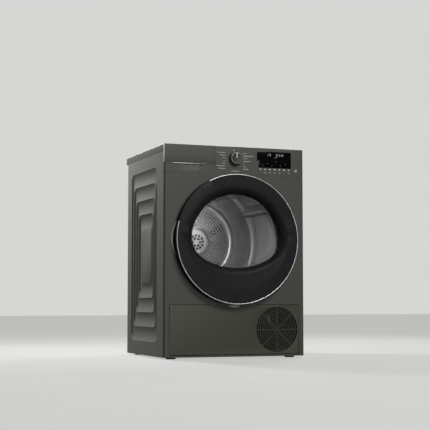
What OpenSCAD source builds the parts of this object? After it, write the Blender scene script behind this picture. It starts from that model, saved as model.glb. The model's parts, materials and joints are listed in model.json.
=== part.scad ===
// Free-standing heat-pump clothes dryer with a round front door, a water-tank drawer
// beside the control panel, a kick flap with a round grille, and its drive inside.
// Millimetres, +Z up, the front faces -Y. The origin is on the floor, at the centre
// of the machine's footprint.

/* [Cabinet] */
// Width over the side panels
body_w = 598; // [596:1:620]
// Height from the underside of the base to the top
body_h = 839; // [836:1:860]
// Depth from the front face to the rear edge of the side panels
body_d = 502; // [500:1:540]
// How far the top panel stands out behind the rear panel
top_overhang = 30; // [28:1:45]
// Height of the base above the floor
foot_gap = 7; // [6:0.5:10]
// Radius of the front and top edges
corner_r = 6; // [4:0.5:8]
// Sheet steel thickness
sheet = 1; // [0.8:0.1:1.2]
// Wall of the moulded plastic parts
wall = 2.5; // [2:0.1:3]
// Depth of the returns that the front panels turn round the corners
front_return = 14; // [12:1:18]
// Height of the top panel's edge
top_h = 28; // [24:1:30]
// Height of the control panel and tank drawer band
fascia_h = 111.5; // [108:0.5:114]
// Gap in the visible seams
seam = 1.5; // [1:0.1:2]

/* [Side panels] */
// Number of nested pressed steps
emboss_steps = 5; // [3:1:5]
// Depth of each pressed step
emboss_depth = 2; // [1:0.1:2.2]
// Extra depth of the groove at the foot of each step
emboss_groove = 1; // [0.5:0.1:1.2]
// First step's distance from the front face
emboss_front = 84; // [70:1:95]
// First step's distance from the rear edge
emboss_rear = 58; // [50:1:70]
// First step's distance from the top
emboss_top = 84; // [70:1:100]
// First step's distance from the underside
emboss_bottom = 57; // [40:1:70]
// Spacing of the steps across the panel
emboss_pitch_y = 26.5; // [22:0.5:30]
// Spacing of the steps up the panel
emboss_pitch_z = 59; // [50:1:62]
// Corner radius of the first step
emboss_r = 28; // [20:1:34]

/* [Door] */
// Radius of the door over its bright ring
door_r = 259.5; // [255:0.5:260]
// Height of the door's centre below the top
door_drop = 373; // [372:1:376]
// How far the door stands out of the front face
door_proud = 36; // [34:1:40]
// Radius of the flat band's inner edge
band_r = 214; // [208:1:220]
// Half the window's width
window_r = 188; // [180:1:190]
// Window's highest point above the door's centre
window_top = 178; // [172:1:186]
// Window's lowest point below the door's centre
window_low = 114; // [105:1:130]
// Radius of the window's lower arc
window_low_r = 300; // [260:5:340]
// Depth of the funnel from the band to the glass
funnel_d = 30; // [24:1:31]
// Width of the funnel's slope
funnel_w = 26; // [20:1:28]
// Section of the bright ring, across
ring_w = 4; // [4:0.5:6]
// Radius of the loading opening in the front panel
opening_r = 205; // [204:0.5:207]
// Sagitta of the inner glass bowl
bowl_d = 33; // [20:1:34]
// Largest opening angle of the door
door_angle = 115; // [90:5:115]

/* [Drum] */
// Gap between the drum and the inside of the side panels' outer face
drum_gap = 19; // [18:1:29]
// Height of the drum's axis below the top
drum_drop = 362; // [361:1:364]
// Number of lifters
lifters = 3; // [2:1:4]
// Height of a lifter
lifter_h = 42; // [30:1:55]
// Radius of the drum's shaft
shaft_r = 12.5; // [10:0.5:14]
// Rows of air holes in the drum's back
hole_rows = 5; // [3:1:5]
// Radius of an air hole
hole_r = 3; // [2.5:0.1:3.5]
// Radius of the corner between the drum's back and its wall
back_corner_r = 26; // [18:1:30]

/* [Drive] */
// Motor axis's distance in from the right side
motor_in = 149; // [144:1:154]
// Height of the motor's axis above the underside of the base
motor_up = 111; // [108:1:114]
// Radius of the motor's housing
motor_r = 62; // [55:1:64]
// Radius of the motor's shaft end that drives the belt
pulley_r = 6; // [5:0.5:8]
// Radius of the idler pulley
idler_r = 25; // [22:0.5:26]
// Gap between the drum and the idler pulley
idler_gap = 36; // [30:1:40]
// Width of the belt
belt_w = 8; // [6:0.5:10]
// Thickness of the belt
belt_t = 2.2; // [1.6:0.1:2.6]
// Radius of the blower wheel
blower_r = 84; // [76:1:85]
// Number of blower blades
blower_blades = 24; // [16:1:30]

/* [Water tank] */
// Width of the tank drawer's front
tank_front_w = 216; // [212:1:220]
// Height of the tank drawer's front
tank_front_h = 75; // [74:0.5:78]
// Length of the tank
tank_l = 395; // [350:5:400]
// Height of the tank
tank_h = 46; // [40:1:46]

/* [Kick flap] */
// Height of the flap's top edge above the underside of the base
flap_top = 205.5; // [203:0.5:206]
// Height of the flap's bottom edge above the underside of the base
flap_bottom = 9.5; // [9:0.5:10]
// Width of the frame beside the flap
flap_side = 22.5; // [20:0.5:24]
// Radius of the round grille
grille_r = 90; // [84:1:92]
// Grille centre's distance in from the right side
grille_in = 118.4; // [117:0.1:123]
// Grille centre's height above the underside of the base
grille_up = 106; // [104:1:108]
// Number of slot rings in the grille
grille_rings = 11; // [8:1:11]
// Number of bars across the slot rings
grille_spokes = 8; // [6:2:10]

/* [Controls] */
// Radius of the programme knob's base ring
knob_ring_r = 29; // [26:0.5:31]
// Radius of the programme knob
knob_r = 24.5; // [21:0.5:25]
// How far the knob stands out
knob_out = 19; // [15:0.5:22]
// Knob centre's height below the top
knob_drop = 48.5; // [46:0.5:51]
// Display window's width
display_w = 151; // [140:1:154]
// Display window's height
display_h = 66.5; // [60:0.5:68]
// Display window's left edge, in from the right side
display_in = 205; // [201:1:209]
// Display window's top edge below the top
display_drop = 13.5; // [12:0.5:16]
// Start button's radius
start_r = 5.5; // [4.5:0.5:6]
// Start button's distance in from the right side
start_in = 34; // [31:1:37]
// Start button's height below the top
start_drop = 88; // [84:1:92]

/* [Feet] */
// Radius of a foot's pad
foot_r = 20; // [17:1:22]
// Radius of a foot's stem
stem_r = 5; // [4:0.5:6]
// Foot's distance in from the sides
foot_in = 44; // [40:1:50]

/* [Hidden] */
$fn = 72;

// Clearance of a running fit, on the radius
run_fit = 0.05;
// Clearance between curved faces that move past each other
play = 0.35;
// Overlap that makes a cut pass cleanly through a face
past = 1;

half_w = body_w / 2;
total_d = door_proud + body_d + top_overhang;
front_y = door_proud - total_d / 2;
rear_y = front_y + body_d;
seam_y = front_y + front_return;
base_z = foot_gap;
top_z = foot_gap + body_h;
door_z = top_z - door_drop;
drum_r = half_w - drum_gap;
drum_z = top_z - drum_drop;
band_z = top_z - fascia_h;

// The front bulkhead, the filter's slot and the drum follow each other towards the rear
filter_y = front_y + 27;
filter_t = 15;
filter_h = 110;
bulkhead_y = front_y + 46;
bulkhead_t = 2.5;
tunnel_r = opening_r + 3;
ring_collar_r = drum_r - 22;
felt_t = 3.7;
drum_collar_r = ring_collar_r + felt_t + play;
drum_front_y = bulkhead_y + 34;
drum_rear_y = rear_y - 28;
drum_sheet = 1.2;
back_y = drum_rear_y - 10;

// Drive train, in the plane of the belt
belt_y = rear_y - 154;
motor_x = half_w - motor_in;
motor_z = base_z + motor_up;
idler_reach = drum_r + idler_gap + idler_r;
idler_angle = 78.2;
idler_x = idler_reach * cos(idler_angle);
idler_z = drum_z - idler_reach * sin(idler_angle);
arm_x = motor_x - 40;
arm_z = motor_z - 18;
bracket_y = belt_y + 14;
bracket_t = 3;
motor_y = bracket_y + bracket_t;
motor_l = 86;
blower_y = motor_y + motor_l + 3;
blower_case_r = blower_r + 11;

// Heat exchangers and the cooling fan stand on the base's floor
floor_z = base_z + 8;
exch_left = -half_w + 33;
exch_right = 30;
exch_clear = 14;
exch_top = drum_z - drum_r - exch_clear;
evap_y = front_y + 83;
evap_l = 100;
cond_y = evap_y + evap_l + 20;
cond_l = 118;
grille_x = half_w - grille_in;
grille_z = base_z + grille_up;
fan_y = front_y + 20;
fan_t = 25;
fan_half = 76;
filter_w = 2 * (grille_x - fan_half - 9.6);
fan_r = 70;

// The kick flap turns on two pins low at its ends
flap_half = half_w - flap_side;
flap_t = 2.5;
flap_depth = 7;
flap_pin_y = front_y + 7;
flap_pin_z = base_z + flap_bottom + 6.5;
flap_pin_r = 3;

// Door layers, from the front of the ring to the back of the inner frame
door_y = front_y - door_proud;
ring_d = 4.5;
shell_t = 2.5;
glass_t = 3;
door_back_y = front_y - 5;
back_t = 2;
glass_y = door_y + funnel_d + 0.8;
hinge_x = door_r - 13.5;
hinge_y = front_y - 21;
hinge_h = 30;
hinge_pin_r = 3;
hinge_barrel_r = 6;
ring_from = 161.25;
ring_to = 112.5 + 360;

// The tank drawer fills the band's left end
tank_x = -half_w + tank_front_w;
tank_front_z = top_z - tank_front_h;
tank_left = -half_w + 17;
tank_right = tank_x - 6;
tank_y = seam_y + 5;
tank_z = tank_front_z - 3;
scoop_l = 142;
scoop_x = -half_w + 34;
scoop_r = 45;
scoop_d = 14;

// Extrudes an outline drawn in X and Z from depth y0 to depth y1
module slab(y0, y1) {
    translate([0, y1, 0]) rotate([90, 0, 0]) linear_extrude(y1 - y0) children();
}

// Turns a profile drawn in radius and depth about a line along Y at height z
module spun(z, from = 0, sweep = 360) {
    translate([0, 0, z])
        rotate([90, 0, 0])
            rotate([0, 0, from])
                rotate_extrude(angle = sweep)
                    mirror([0, 1])
                        children();
}

// Round bar along Y
module bar_y(r, x, z, y0, y1) {
    translate([x, y0, z]) rotate([-90, 0, 0]) cylinder(r = r, h = y1 - y0);
}

// Round bar along X
module bar_x(r, y, z, x0, x1) {
    translate([x0, y, z]) rotate([0, 90, 0]) cylinder(r = r, h = x1 - x0);
}

// Round bar along Z
module bar_z(r, x, y, z0, z1) {
    translate([x, y, z0]) cylinder(r = r, h = z1 - z0);
}

// Box between two corners
module block(low, high) {
    translate(low) cube(high - low);
}

// Rectangle between two corners, with round corners
module plate2d(low, high, r) {
    translate(low + [r, 0]) square(high - low - [2 * r, 0]);
    translate(low + [0, r]) square(high - low - [0, 2 * r]);
    for (x = [low[0] + r, high[0] - r])
        for (y = [low[1] + r, high[1] - r])
            translate([x, y]) circle(r = r);
}

// Plan of the front skin: a flat front that turns round both corners to the seam
module front_plan(inset) {
    r = corner_r - inset;
    translate([-half_w + corner_r, front_y + inset])
        square([body_w - 2 * corner_r, front_return - inset + (inset > 0 ? past : 0)]);
    translate([-half_w + inset, front_y + corner_r])
        square([body_w - 2 * inset, front_return - corner_r + (inset > 0 ? past : 0)]);
    for (s = [-1, 1])
        translate([s * (half_w - corner_r), front_y + corner_r]) circle(r = r);
}

module front_skin(z0, z1, t) {
    translate([0, 0, z0])
        linear_extrude(z1 - z0)
            difference() {
                front_plan(0);
                front_plan(t);
            }
}

// ---- Side panels: one sheet pressed in nested steps, each with a groove at its foot ----

corner_points = 7;

// Loop of points round a rectangle in Y and Z with round corners, at one X
function loop_points(x, y0, y1, z0, z1, r) =
    [for (c = [[y1 - r, z1 - r, 0], [y0 + r, z1 - r, 90], [y0 + r, z0 + r, 180], [y1 - r, z0 + r, 270]])
        for (i = [0:corner_points])
            let (a = c[2] + 90 * i / corner_points)
                [x, c[0] + r * cos(a), c[1] + r * sin(a)]];

// Loop k steps in, moved a further inset, at a depth into the panel
function emboss_loop(k, inset, depth) = loop_points(
    half_w - depth,
    front_y + emboss_front + k * emboss_pitch_y + inset,
    rear_y - emboss_rear - k * emboss_pitch_y - inset,
    base_z + emboss_bottom + k * emboss_pitch_z + inset,
    top_z - emboss_top - k * emboss_pitch_z - inset,
    emboss_r - 2 * k - inset * 0.6);

function panel_loops(back) = concat(
    [loop_points(half_w - back, seam_y + seam / 3, rear_y, base_z, top_z - top_h - seam / 2, 3)],
    [for (k = [0:emboss_steps - 1])
        for (s = [[0, 0], [2.5, 0.35], [6, 0.85], [10, 1]])
            emboss_loop(k, s[0], back + k * emboss_depth + s[1] * (emboss_depth + emboss_groove))]);

module pressed_sheet() {
    outer = panel_loops(0);
    inner = panel_loops(sheet);
    n = len(outer[0]);
    m = len(outer);
    points = [for (l = concat(outer, [for (j = [m - 1:-1:0]) inner[j]])) for (p = l) p];
    last = 2 * m - 1;
    faces = concat(
        [for (j = [0:last])
            for (i = [0:n - 1])
                if (j != m - 1)
                    for (t = [0, 1])
                        let (a = j * n + i, b = j * n + (i + 1) % n,
                            k = (j + 1) % (last + 1), c = k * n + i, d = k * n + (i + 1) % n)
                            t == 0 ? [a, c, b] : [b, c, d]],
        [[for (i = [0:n - 1]) (m - 1) * n + (n - 1 - i)]],
        [[for (i = [0:n - 1]) m * n + i]]);
    polyhedron(points, faces);
}

module side_panel() {
    flange = 14;
    inner_x = half_w - sheet;
    y0 = seam_y + seam / 3;
    z1 = top_z - top_h - seam / 2;
    pressed_sheet();
    block([inner_x - flange, y0 + 3, base_z + 64], [inner_x, y0 + 3 + sheet, z1 - 6]);
    block([inner_x - flange, rear_y - 6, base_z + 64], [inner_x, rear_y - 6 + sheet, z1 - 6]);
    block([inner_x - flange, y0 + 20, z1 - 6], [inner_x, rear_y - 20, z1 - 6 + sheet]);
}

module right_side_panel() {
    color("#545452") side_panel();
}

module left_side_panel() {
    color("#545452") mirror([1, 0, 0]) side_panel();
}

// ---- Cabinet ----

foot_sides = [-1, 1];
foot_ends = [seam_y + 34, rear_y - 40];
socket_r = stem_r + 6;
socket_h = 28;
foot_socket_x = half_w - foot_in - socket_r;

module base_tray() {
    x1 = half_w - sheet - 0.3;
    y1 = rear_y - sheet - 0.3;
    wall_top = base_z + emboss_bottom - 3;
    duct_end = cond_y + cond_l + 8;
    color("#3a3b3b") difference() {
        union() {
            difference() {
                block([-x1, seam_y, base_z], [x1, y1, wall_top]);
                block([-x1 + 3, seam_y + 3, floor_z], [x1 - 3, y1 - 3, wall_top + past]);
                // Seat of the blower's housing in the rear wall
                block([motor_x - blower_case_r - 1, y1 - 3 - past, floor_z + 3],
                    [motor_x + blower_case_r + 1, y1 + past, wall_top + past]);
            }
            // Stem sockets of the feet
            for (s = foot_sides)
                for (y = foot_ends)
                    bar_z(socket_r, s * (half_w - foot_in), y, base_z, base_z + socket_h);
            // Wall between the air duct and the machine room
            for (x = [exch_left - 8, exch_right + 6]) {
                block([x, bulkhead_y + 4, base_z + 4], [x + 4, duct_end, exch_top + 4]);
                // Lower in front, below the lint filter's well
                block([x, seam_y + 3, base_z + 4], [x + 4, bulkhead_y + 4, filter_low_z - 8]);
            }
            // Seats of the compressor
            for (a = [30, 150, 270])
                bar_z(9, compressor_x + 66 * cos(a), compressor_y + 66 * sin(a), base_z + 4, base_z + 22);
            // Ears that hold the kick flap's pins
            for (s = [-1, 1])
                translate([s * (flap_half + 6.5), 0, 0])
                    block([-4, flap_pin_y - 5, flap_pin_z - 8], [4, seam_y + 1, flap_pin_z + 8]);
            // Sill below the exchanger cover
            block([exch_left - 4, seam_y + 3, base_z + 4], [exch_right + 6, seam_y + 8, base_z + 22]);
        }
        for (s = foot_sides)
            for (y = foot_ends)
                bar_z(stem_r + run_fit, s * (half_w - foot_in), y, base_z - past, base_z + socket_h + past);
        bar_x(flap_pin_r + run_fit, flap_pin_y, flap_pin_z, -half_w, half_w);
        block([exch_left, seam_y - past, base_z + 24], [exch_right + 2, seam_y + 3 + past, wall_top + past]);
        // Way in to the cooling fan
        block([grille_x - fan_half - 2, seam_y - past, base_z + 28],
            [grille_x + fan_half + 2, seam_y + 3 + past, wall_top + past]);
    }
}

module top_panel() {
    y1 = rear_y + top_overhang;
    color("#575753") difference() {
        translate([0, 0, top_z - top_h])
            linear_extrude(top_h)
                plate2d([-half_w, seam_y], [half_w, y1], corner_r);
        translate([0, 0, top_z - top_h - past])
            linear_extrude(top_h - wall + past)
                plate2d([-half_w + wall, seam_y + wall], [half_w - wall, y1 - wall], corner_r - wall);
    }
}

module rear_panel() {
    hub_r = 62;
    open_r = 226;
    color("#8e8f8e") difference() {
        union() {
            slab(rear_y - sheet, rear_y)
                difference() {
                    plate2d([-half_w + 2, base_z + 14], [half_w - 2, top_z - top_h - 1], 4);
                    // Air openings between the arms that carry the bearing
                    translate([0, drum_z])
                        difference() {
                            circle(r = open_r);
                            circle(r = hub_r);
                            for (a = [0:60:120])
                                rotate(a) translate([-open_r, -15]) square([2 * open_r, 30]);
                        }
                    translate([motor_x, motor_z]) circle(r = blower_r - 4);
                }
            // Pressed seat of the bearing
            bar_y(bearing_r + 5, 0, drum_z, rear_y - 8, rear_y);
        }
        bar_y(bearing_r, 0, drum_z, rear_y - 8 - past, rear_y + past);
    }
}

bearing_r = 22;

module rear_bearing() {
    color("#b8babc") difference() {
        bar_y(bearing_r, 0, drum_z, rear_y - 8, rear_y + 4);
        bar_y(shaft_r + run_fit, 0, drum_z, rear_y - 8 - past, rear_y + 4 + past);
    }
}

// Outline of the rear duct: a round drum part that runs down into the blower's outlet
module duct_outline(inset) {
    r = 236 - inset;
    w = blower_r + 2 - inset;
    translate([0, drum_z]) circle(r = r);
    translate([motor_x - w, motor_z - w]) square([2 * w, drum_z - motor_z - 60]);
}

module rear_duct_cover() {
    depth = top_overhang - 5;
    color("#9a9b9a") {
        difference() {
            slab(rear_y, rear_y + depth) duct_outline(0);
            slab(rear_y - past, rear_y + depth - wall) duct_outline(wall);
        }
        // Stiffening rings
        for (r = [90, 150, 205])
            spun(drum_z) translate([r, rear_y + depth]) square([5, 2]);
    }
}

module front_panel() {
    open_z = [base_z + flap_bottom - 2.5, base_z + flap_top + seam];
    t = sheet;
    color("#4a4b46") difference() {
        union() {
            front_skin(base_z, band_z - seam, t);
            // Rolled edge of the loading opening
            spun(door_z) translate([opening_r, front_y]) square([t, 9]);
            // Wall of the finger grip
            slab(front_y, front_y + grip_depth) grip_outline(0);
            // Stiffening flanges beside and above the kick flap
            for (s = [-1, 1])
                translate([s * (flap_half + seam + t / 2), 0, 0])
                    block([-t / 2, front_y, flap_pin_z + 12], [t / 2, front_y + 9, open_z[1]]);
            block([-flap_half, front_y, open_z[1]], [flap_half, front_y + 9, open_z[1] + t]);
        }
        slab(front_y - past, front_y + t + past)
            translate([0, door_z]) circle(r = opening_r);
        slab(front_y - past, front_y + t + past)
            plate2d([-flap_half - seam, open_z[0]], [flap_half + seam, open_z[1]], 3);
        slab(front_y - past, front_y + grip_depth - t) grip_outline(t);
        // Slots for the hinge arm and the latch hook
        block([hinge_x - 4, front_y - past, door_z - hinge_h / 2 - 2],
            [hinge_x + 4, front_y + t + past, door_z + hinge_h / 2 + 2]);
        block([latch_x - 8, front_y - past, door_z - 14], [latch_x + 6, front_y + t + past, door_z + 14]);
    }
}

// Finger grip beside the door: a crescent between two circles
grip_depth = 20;
grip_r = 127;
grip_out = 11;
latch_x = -222;

module grip_outline(inset) {
    difference() {
        translate([-door_r - grip_out + grip_r, door_z]) circle(r = grip_r - inset);
        translate([0, door_z]) circle(r = door_r - 18 + inset);
    }
}

module front_bulkhead() {
    y0 = bulkhead_y - bulkhead_t;
    slot_y = [filter_y - 1.5, filter_y + filter_t + 1.5];
    lip_z = door_z - opening_r;
    color("#c9cac8") difference() {
        union() {
            slab(y0, bulkhead_y)
                plate2d([-half_w + 16, lip_z - 52], [half_w - 16, band_z + 20], 30);
            // Tunnel round the loading opening
            spun(door_z) translate([tunnel_r, front_y + sheet]) square([bulkhead_t, bulkhead_y - front_y - sheet]);
            // Ring that carries the drum's front felt
            spun(drum_z)
                translate([ring_collar_r - wall, y0]) square([wall, drum_front_y - bulkhead_y + bulkhead_t - 4]);
            // Well of the lint filter
            block([-filter_w / 2 - 4, slot_y[0] - 2, filter_low_z - 6],
                [filter_w / 2 + 4, bulkhead_y, lip_z + 14]);
        }
        slab(y0 - past, bulkhead_y + past) translate([0, door_z]) circle(r = opening_r - 8);
        slab(front_y, y0) translate([0, door_z]) circle(r = tunnel_r);
        block([-filter_w / 2 - 1.5, slot_y[0], filter_low_z - play],
            [filter_w / 2 + 1.5, slot_y[1], lip_z + 24]);
        // The filter stands on a ledge at each end
        block([-filter_w / 2 + 8, slot_y[0], filter_low_z - 6 - past],
            [filter_w / 2 - 8, slot_y[1], filter_low_z]);
    }
}

filter_low_z = door_z - opening_r + 2 - filter_h;

module felt_ring(r0, r1, y0, y1) {
    spun(drum_z) translate([r0, y0]) square([r1 - r0, y1 - y0]);
}

module drum_front_seal() {
    color("#6b6a66") felt_ring(ring_collar_r, ring_collar_r + felt_t, bulkhead_y + 6, drum_front_y - 4);
}

module drum_rear_seal() {
    color("#6b6a66") felt_ring(drum_r - 32, drum_r - 14, drum_rear_y + play, rear_y - sheet);
}

module door_seal() {
    low = front_y - 1;
    lip = front_y - 2.5;
    r = opening_r;
    color("#1d1d1e") spun(door_z)
        polygon([[r, front_y], [r, low], [r + 2, low], [r + 2.8, lip], [r + 4.2, lip], [r + 5, low],
            [r + 7, low], [r + 7, front_y]]);
}

// ---- Water tank drawer ----

module tank_guide() {
    t = 2;
    z0 = tank_z - 2 - play;
    color("#77797a") {
        block([tank_left - 3, seam_y + 8, z0], [tank_right + 3, seam_y + 20 + tank_l, z0 + t]);
        for (x = [tank_left - 3 - t, tank_right + 3])
            block([x, seam_y + 8, z0], [x + t, seam_y + 20 + tank_l, z0 + 34]);
        block([tank_left - 3, seam_y + 20 + tank_l - t, z0 + t], [tank_right + 3, seam_y + 20 + tank_l, z0 + 34]);
        // Tie to the side panel
        block([-half_w + sheet, seam_y + 20, z0], [tank_left - 3 - t, front_y + emboss_front - 4, z0 + t]);
    }
}

module tank_front() {
    z1 = top_z - 0.3;
    color("#4c4d48") {
        difference() {
            front_skin(tank_front_z + 0.6, z1, wall);
            block([tank_x - seam / 2, front_y - past, 0], [half_w + past, seam_y + past, top_z + past]);
        }
        block([-half_w + 3, front_y + wall, z1 - 2.5], [tank_x - seam / 2, seam_y - 0.6, z1]);
        block([tank_x - seam / 2 - 2, front_y + wall, tank_front_z + 0.6], [tank_x - seam / 2, seam_y - 0.6, z1 - 2.5]);
        // Arms that carry the tank
        for (x = [tank_left + 20, tank_right - 30])
            block([x, front_y + wall, tank_z + 22], [x + 8, tank_y, tank_z + 34]);
    }
}

module tank_handle_trim() {
    z = tank_front_z + 0.6;
    color("#c8cac9") {
        block([scoop_x, front_y - 1.5, z - 3], [scoop_x + scoop_l, front_y + 3, z]);
        bar_x(1.5, front_y, z - 1.5, scoop_x + 1, scoop_x + scoop_l - 1);
    }
}

module water_tank() {
    w = 2.2;
    color("#b9c4c9") difference() {
        union() {
            translate([0, 0, tank_z])
                linear_extrude(tank_h)
                    plate2d([tank_left, tank_y], [tank_right, tank_y + tank_l], 12);
            // Rim round the inlet
            translate([0, 0, tank_z + tank_h])
                linear_extrude(2)
                    plate2d([tank_right - 76, tank_y + 24], [tank_right - 16, tank_y + 66], 8);
        }
        translate([0, 0, tank_z + w])
            linear_extrude(tank_h - 2 * w)
                plate2d([tank_left + w, tank_y + w], [tank_right - w, tank_y + tank_l - w], 12 - w);
        translate([0, 0, tank_z + tank_h - w - past])
            linear_extrude(w + 2 + 2 * past)
                plate2d([tank_right - 74, tank_y + 26], [tank_right - 18, tank_y + 64], 6);
    }
}

// ---- Control panel ----

knob_z = top_z - knob_drop;
start_x = half_w - start_in;
start_z = top_z - start_drop;
display_x = half_w - display_in;
display_top = top_z - display_drop;

// Finger scoop under the drawer: a shallow dish with round ends
module scoop(r) {
    y = front_y - scoop_r + scoop_d;
    z = tank_front_z + 4;
    ends = [scoop_x + 32, scoop_x + scoop_l - 32];
    bar_x(r, y, z, ends[0], ends[1]);
    for (x = ends) translate([x, y, z]) sphere(r = r);
}

module control_panel() {
    color("#4b4c47") difference() {
        union() {
            difference() {
                front_skin(band_z, top_z, wall);
                // Bay of the tank drawer
                block([-half_w - past, front_y - past, tank_front_z - 3.5], [tank_x + seam / 2, seam_y + past, top_z + past]);
            }
            block([tank_x + seam / 2, front_y + wall, top_z - wall], [half_w - wall, seam_y, top_z]);
            block([tank_x + seam / 2, front_y + wall, tank_front_z - 3.5], [tank_x + seam / 2 + 2, seam_y, top_z - wall]);
            // Back of the finger scoop
            intersection() {
                scoop(scoop_r + 2);
                block([-half_w, front_y, band_z], [half_w, 0, tank_front_z - 3.5]);
            }
            block([-half_w + wall, front_y + wall, band_z + 2], [half_w - wall, seam_y, band_z + 4]);
        }
        scoop(scoop_r);
        // Seat of the display window
        block([display_x - 0.3, front_y - past, display_top - display_h - 0.3],
            [display_x + display_w + 0.3, front_y + 1.4, display_top + 0.3]);
        block([display_x + 4, front_y, display_top - display_h + 4],
            [display_x + display_w - 4, front_y + wall + past, display_top - 4]);
        bar_y(knob_shaft_r + 0.6, 0, knob_z, front_y - past, front_y + wall + past);
        bar_y(start_r + 0.3, start_x, start_z, front_y - past, front_y + wall + past);
    }
}

module display_window() {
    color("#0b0c0e")
        slab(front_y - 0.1, front_y + 1.4)
            plate2d([display_x, display_top - display_h], [display_x + display_w, display_top], 1.5);
}

knob_shaft_r = 3;
board_y = front_y + front_return - 3;

module control_board() {
    z0 = band_z + 12;
    board_left = -66;
    board_right = half_w - 20;
    color("#2f6b4a") difference() {
        union() {
            block([board_left, board_y, z0], [board_right, board_y + 1.6, top_z - 8]);
            // Knob's encoder, start key's switch and the display module
            block([-9, board_y - 7, knob_z - 9], [9, board_y, knob_z + 9]);
            block([start_x - 4, board_y - 4, start_z - 4], [start_x + 4, board_y, start_z + 4]);
            block([display_x + 8, board_y - 6, display_top - display_h + 8],
                [display_x + display_w - 8, board_y, display_top - 8]);
            for (x = [board_left + 76, board_left + 112, board_right - 79])
                block([x, board_y + 1.6, z0 + 12], [x + 22, board_y + 16, z0 + 44]);
            // Posts to the control panel's back
            for (x = [board_left + 6, board_right - 5])
                block([x, front_y + wall, z0 + 4], [x + 5, board_y, z0 + 9]);
        }
        bar_y(knob_shaft_r + run_fit, 0, knob_z, board_y - 7 - past, board_y + 1);
    }
}

module program_knob() {
    y0 = front_y - knob_out;
    color("#5a5b56") {
        // Skirt with a rounded edge
        spun(knob_z)
            polygon([[0, front_y - play], [0, front_y - 4], [knob_ring_r - 1.5, front_y - 4],
                [knob_ring_r, front_y - 3], [knob_ring_r, front_y - play]]);
        difference() {
            spun(knob_z) polygon(concat(
                [[0, front_y - 4], [0, y0]],
                [for (a = [90:-15:0]) [knob_r - 4 + 3 * cos(a), y0 + 3 - 3 * sin(a)]],
                [[knob_r, front_y - 4]]));
            // Pointer groove from the rim towards the middle
            block([-1.2, y0 - past, knob_z + 2], [1.2, y0 + 0.8, knob_z + knob_r]);
        }
        bar_y(knob_shaft_r, 0, knob_z, front_y - play, board_y - 0.5);
    }
}

start_travel = 1.5;

module start_button() {
    color("#8f908b") {
        bar_y(start_r, start_x, start_z, front_y - 2, front_y + wall + play);
        bar_y(start_r + 1.6, start_x, start_z, front_y + wall + play, front_y + wall + play + 1);
        bar_y(2, start_x, start_z, front_y + wall + play + 1, board_y - 4 - start_travel - play);
    }
}

// ---- Door: a moulded frame lofted from the round band down to the window's outline ----

door_stations = 96;

// Distance of the window's edge from the door's centre in direction a:
// an ellipse above and a flatter arc below, blended where they meet
function window_edge(a) =
    let (c = window_low_r - window_low,
        high = 1 / norm([cos(a) / window_r, sin(a) / window_top]),
        low = c * sin(a) + sqrt(pow(window_low_r, 2) - pow(c * cos(a), 2)))
        pow(pow(high, -12) + pow(low, -12), -1 / 12);

// The frame fills the gap that the bright ring leaves at its upper left
function in_gap(a) = a > ring_to - 360 + 2 && a < ring_from - 2;
// The rim is open on the right, where the hinge arm passes
function at_hinge(a) = a < 5 || a > 355;

// How far the band falls inwards over its width in direction a
function dish(a) = 0.06 * (band_r - window_edge(a) - funnel_w);

function frame_profile(a) =
    let (w = window_edge(a),
        edge = door_r - ring_w - 0.3,
        r0 = in_gap(a) ? door_r : edge,
        rim = door_r - 0.5,
        back = at_hinge(a) ? door_y + ring_d + 0.8 : front_y - 4,
        side = at_hinge(a) ? door_y + ring_d + 0.6 : front_y - 9,
        inner_back = at_hinge(a) ? door_y + ring_d + 3 : front_y - 4,
        y = door_y,
        t = shell_t,
        fall = dish(a))
    [
        [rim - (at_hinge(a) ? 0 : 4), back],
        [rim, side],
        [rim, y + ring_d + 0.3],
        [r0 + (in_gap(a) ? -0.5 : 0), y + ring_d],
        [r0 + (in_gap(a) ? -0.5 : 0), y + 1.2],
        [r0 - 2, y],
        [band_r, y],
        [w + funnel_w, y + 1 + fall],
        [w + 0.6 * funnel_w, y + 0.22 * funnel_d + fall],
        [w + 0.25 * funnel_w, y + 0.62 * funnel_d],
        [w, y + funnel_d - 1],
        [w + 1.2, y + funnel_d + 0.8],
        [w + 0.25 * funnel_w + t, y + 0.62 * funnel_d + 1.6],
        [w + 0.6 * funnel_w + t, y + 0.22 * funnel_d + fall + 1.8],
        [max(w + funnel_w + 1, band_r - 1), y + 1 + fall + t],
        [edge - 2, y + t],
        [edge - 2, y + ring_d + t],
        [rim - t, y + ring_d + t + 0.2],
        [rim - t, inner_back - (at_hinge(a) ? 0.1 : 5)],
        [rim - (at_hinge(a) ? t - 0.2 : 6), inner_back]
    ];

module door_frame() {
    n = len(frame_profile(0));
    points = [for (i = [0:door_stations - 1])
        let (a = 360 * i / door_stations)
            for (p = frame_profile(a)) [p[0] * cos(a), p[1], door_z + p[0] * sin(a)]];
    faces = [for (i = [0:door_stations - 1])
        for (j = [0:n - 1])
            for (t = [0, 1])
                let (k = (i + 1) % door_stations, q = (j + 1) % n,
                    a = i * n + j, b = i * n + q, c = k * n + j, d = k * n + q)
                    t == 0 ? [a, b, c] : [b, d, c]];
    color("#212224") polyhedron(points, faces);
}

module door_trim_ring() {
    color("#d0d2d3")
        spun(door_z, ring_from, ring_to - ring_from)
            polygon([[door_r - ring_w, door_y + 0.2], [door_r - ring_w + 1, door_y], [door_r - 1, door_y],
                [door_r, door_y + 1], [door_r, door_y + ring_d], [door_r - ring_w, door_y + ring_d - 0.1]]);
}

module door_glass() {
    color("#26282b", 0.5)
        slab(glass_y, glass_y + glass_t)
            polygon([for (i = [0:door_stations - 1])
                let (a = 360 * i / door_stations)
                    (window_edge(a) + 6) * [cos(a), sin(a)] + [0, door_z]]);
}

bowl_r = 190;
boss_r = opening_r - 7;

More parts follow.
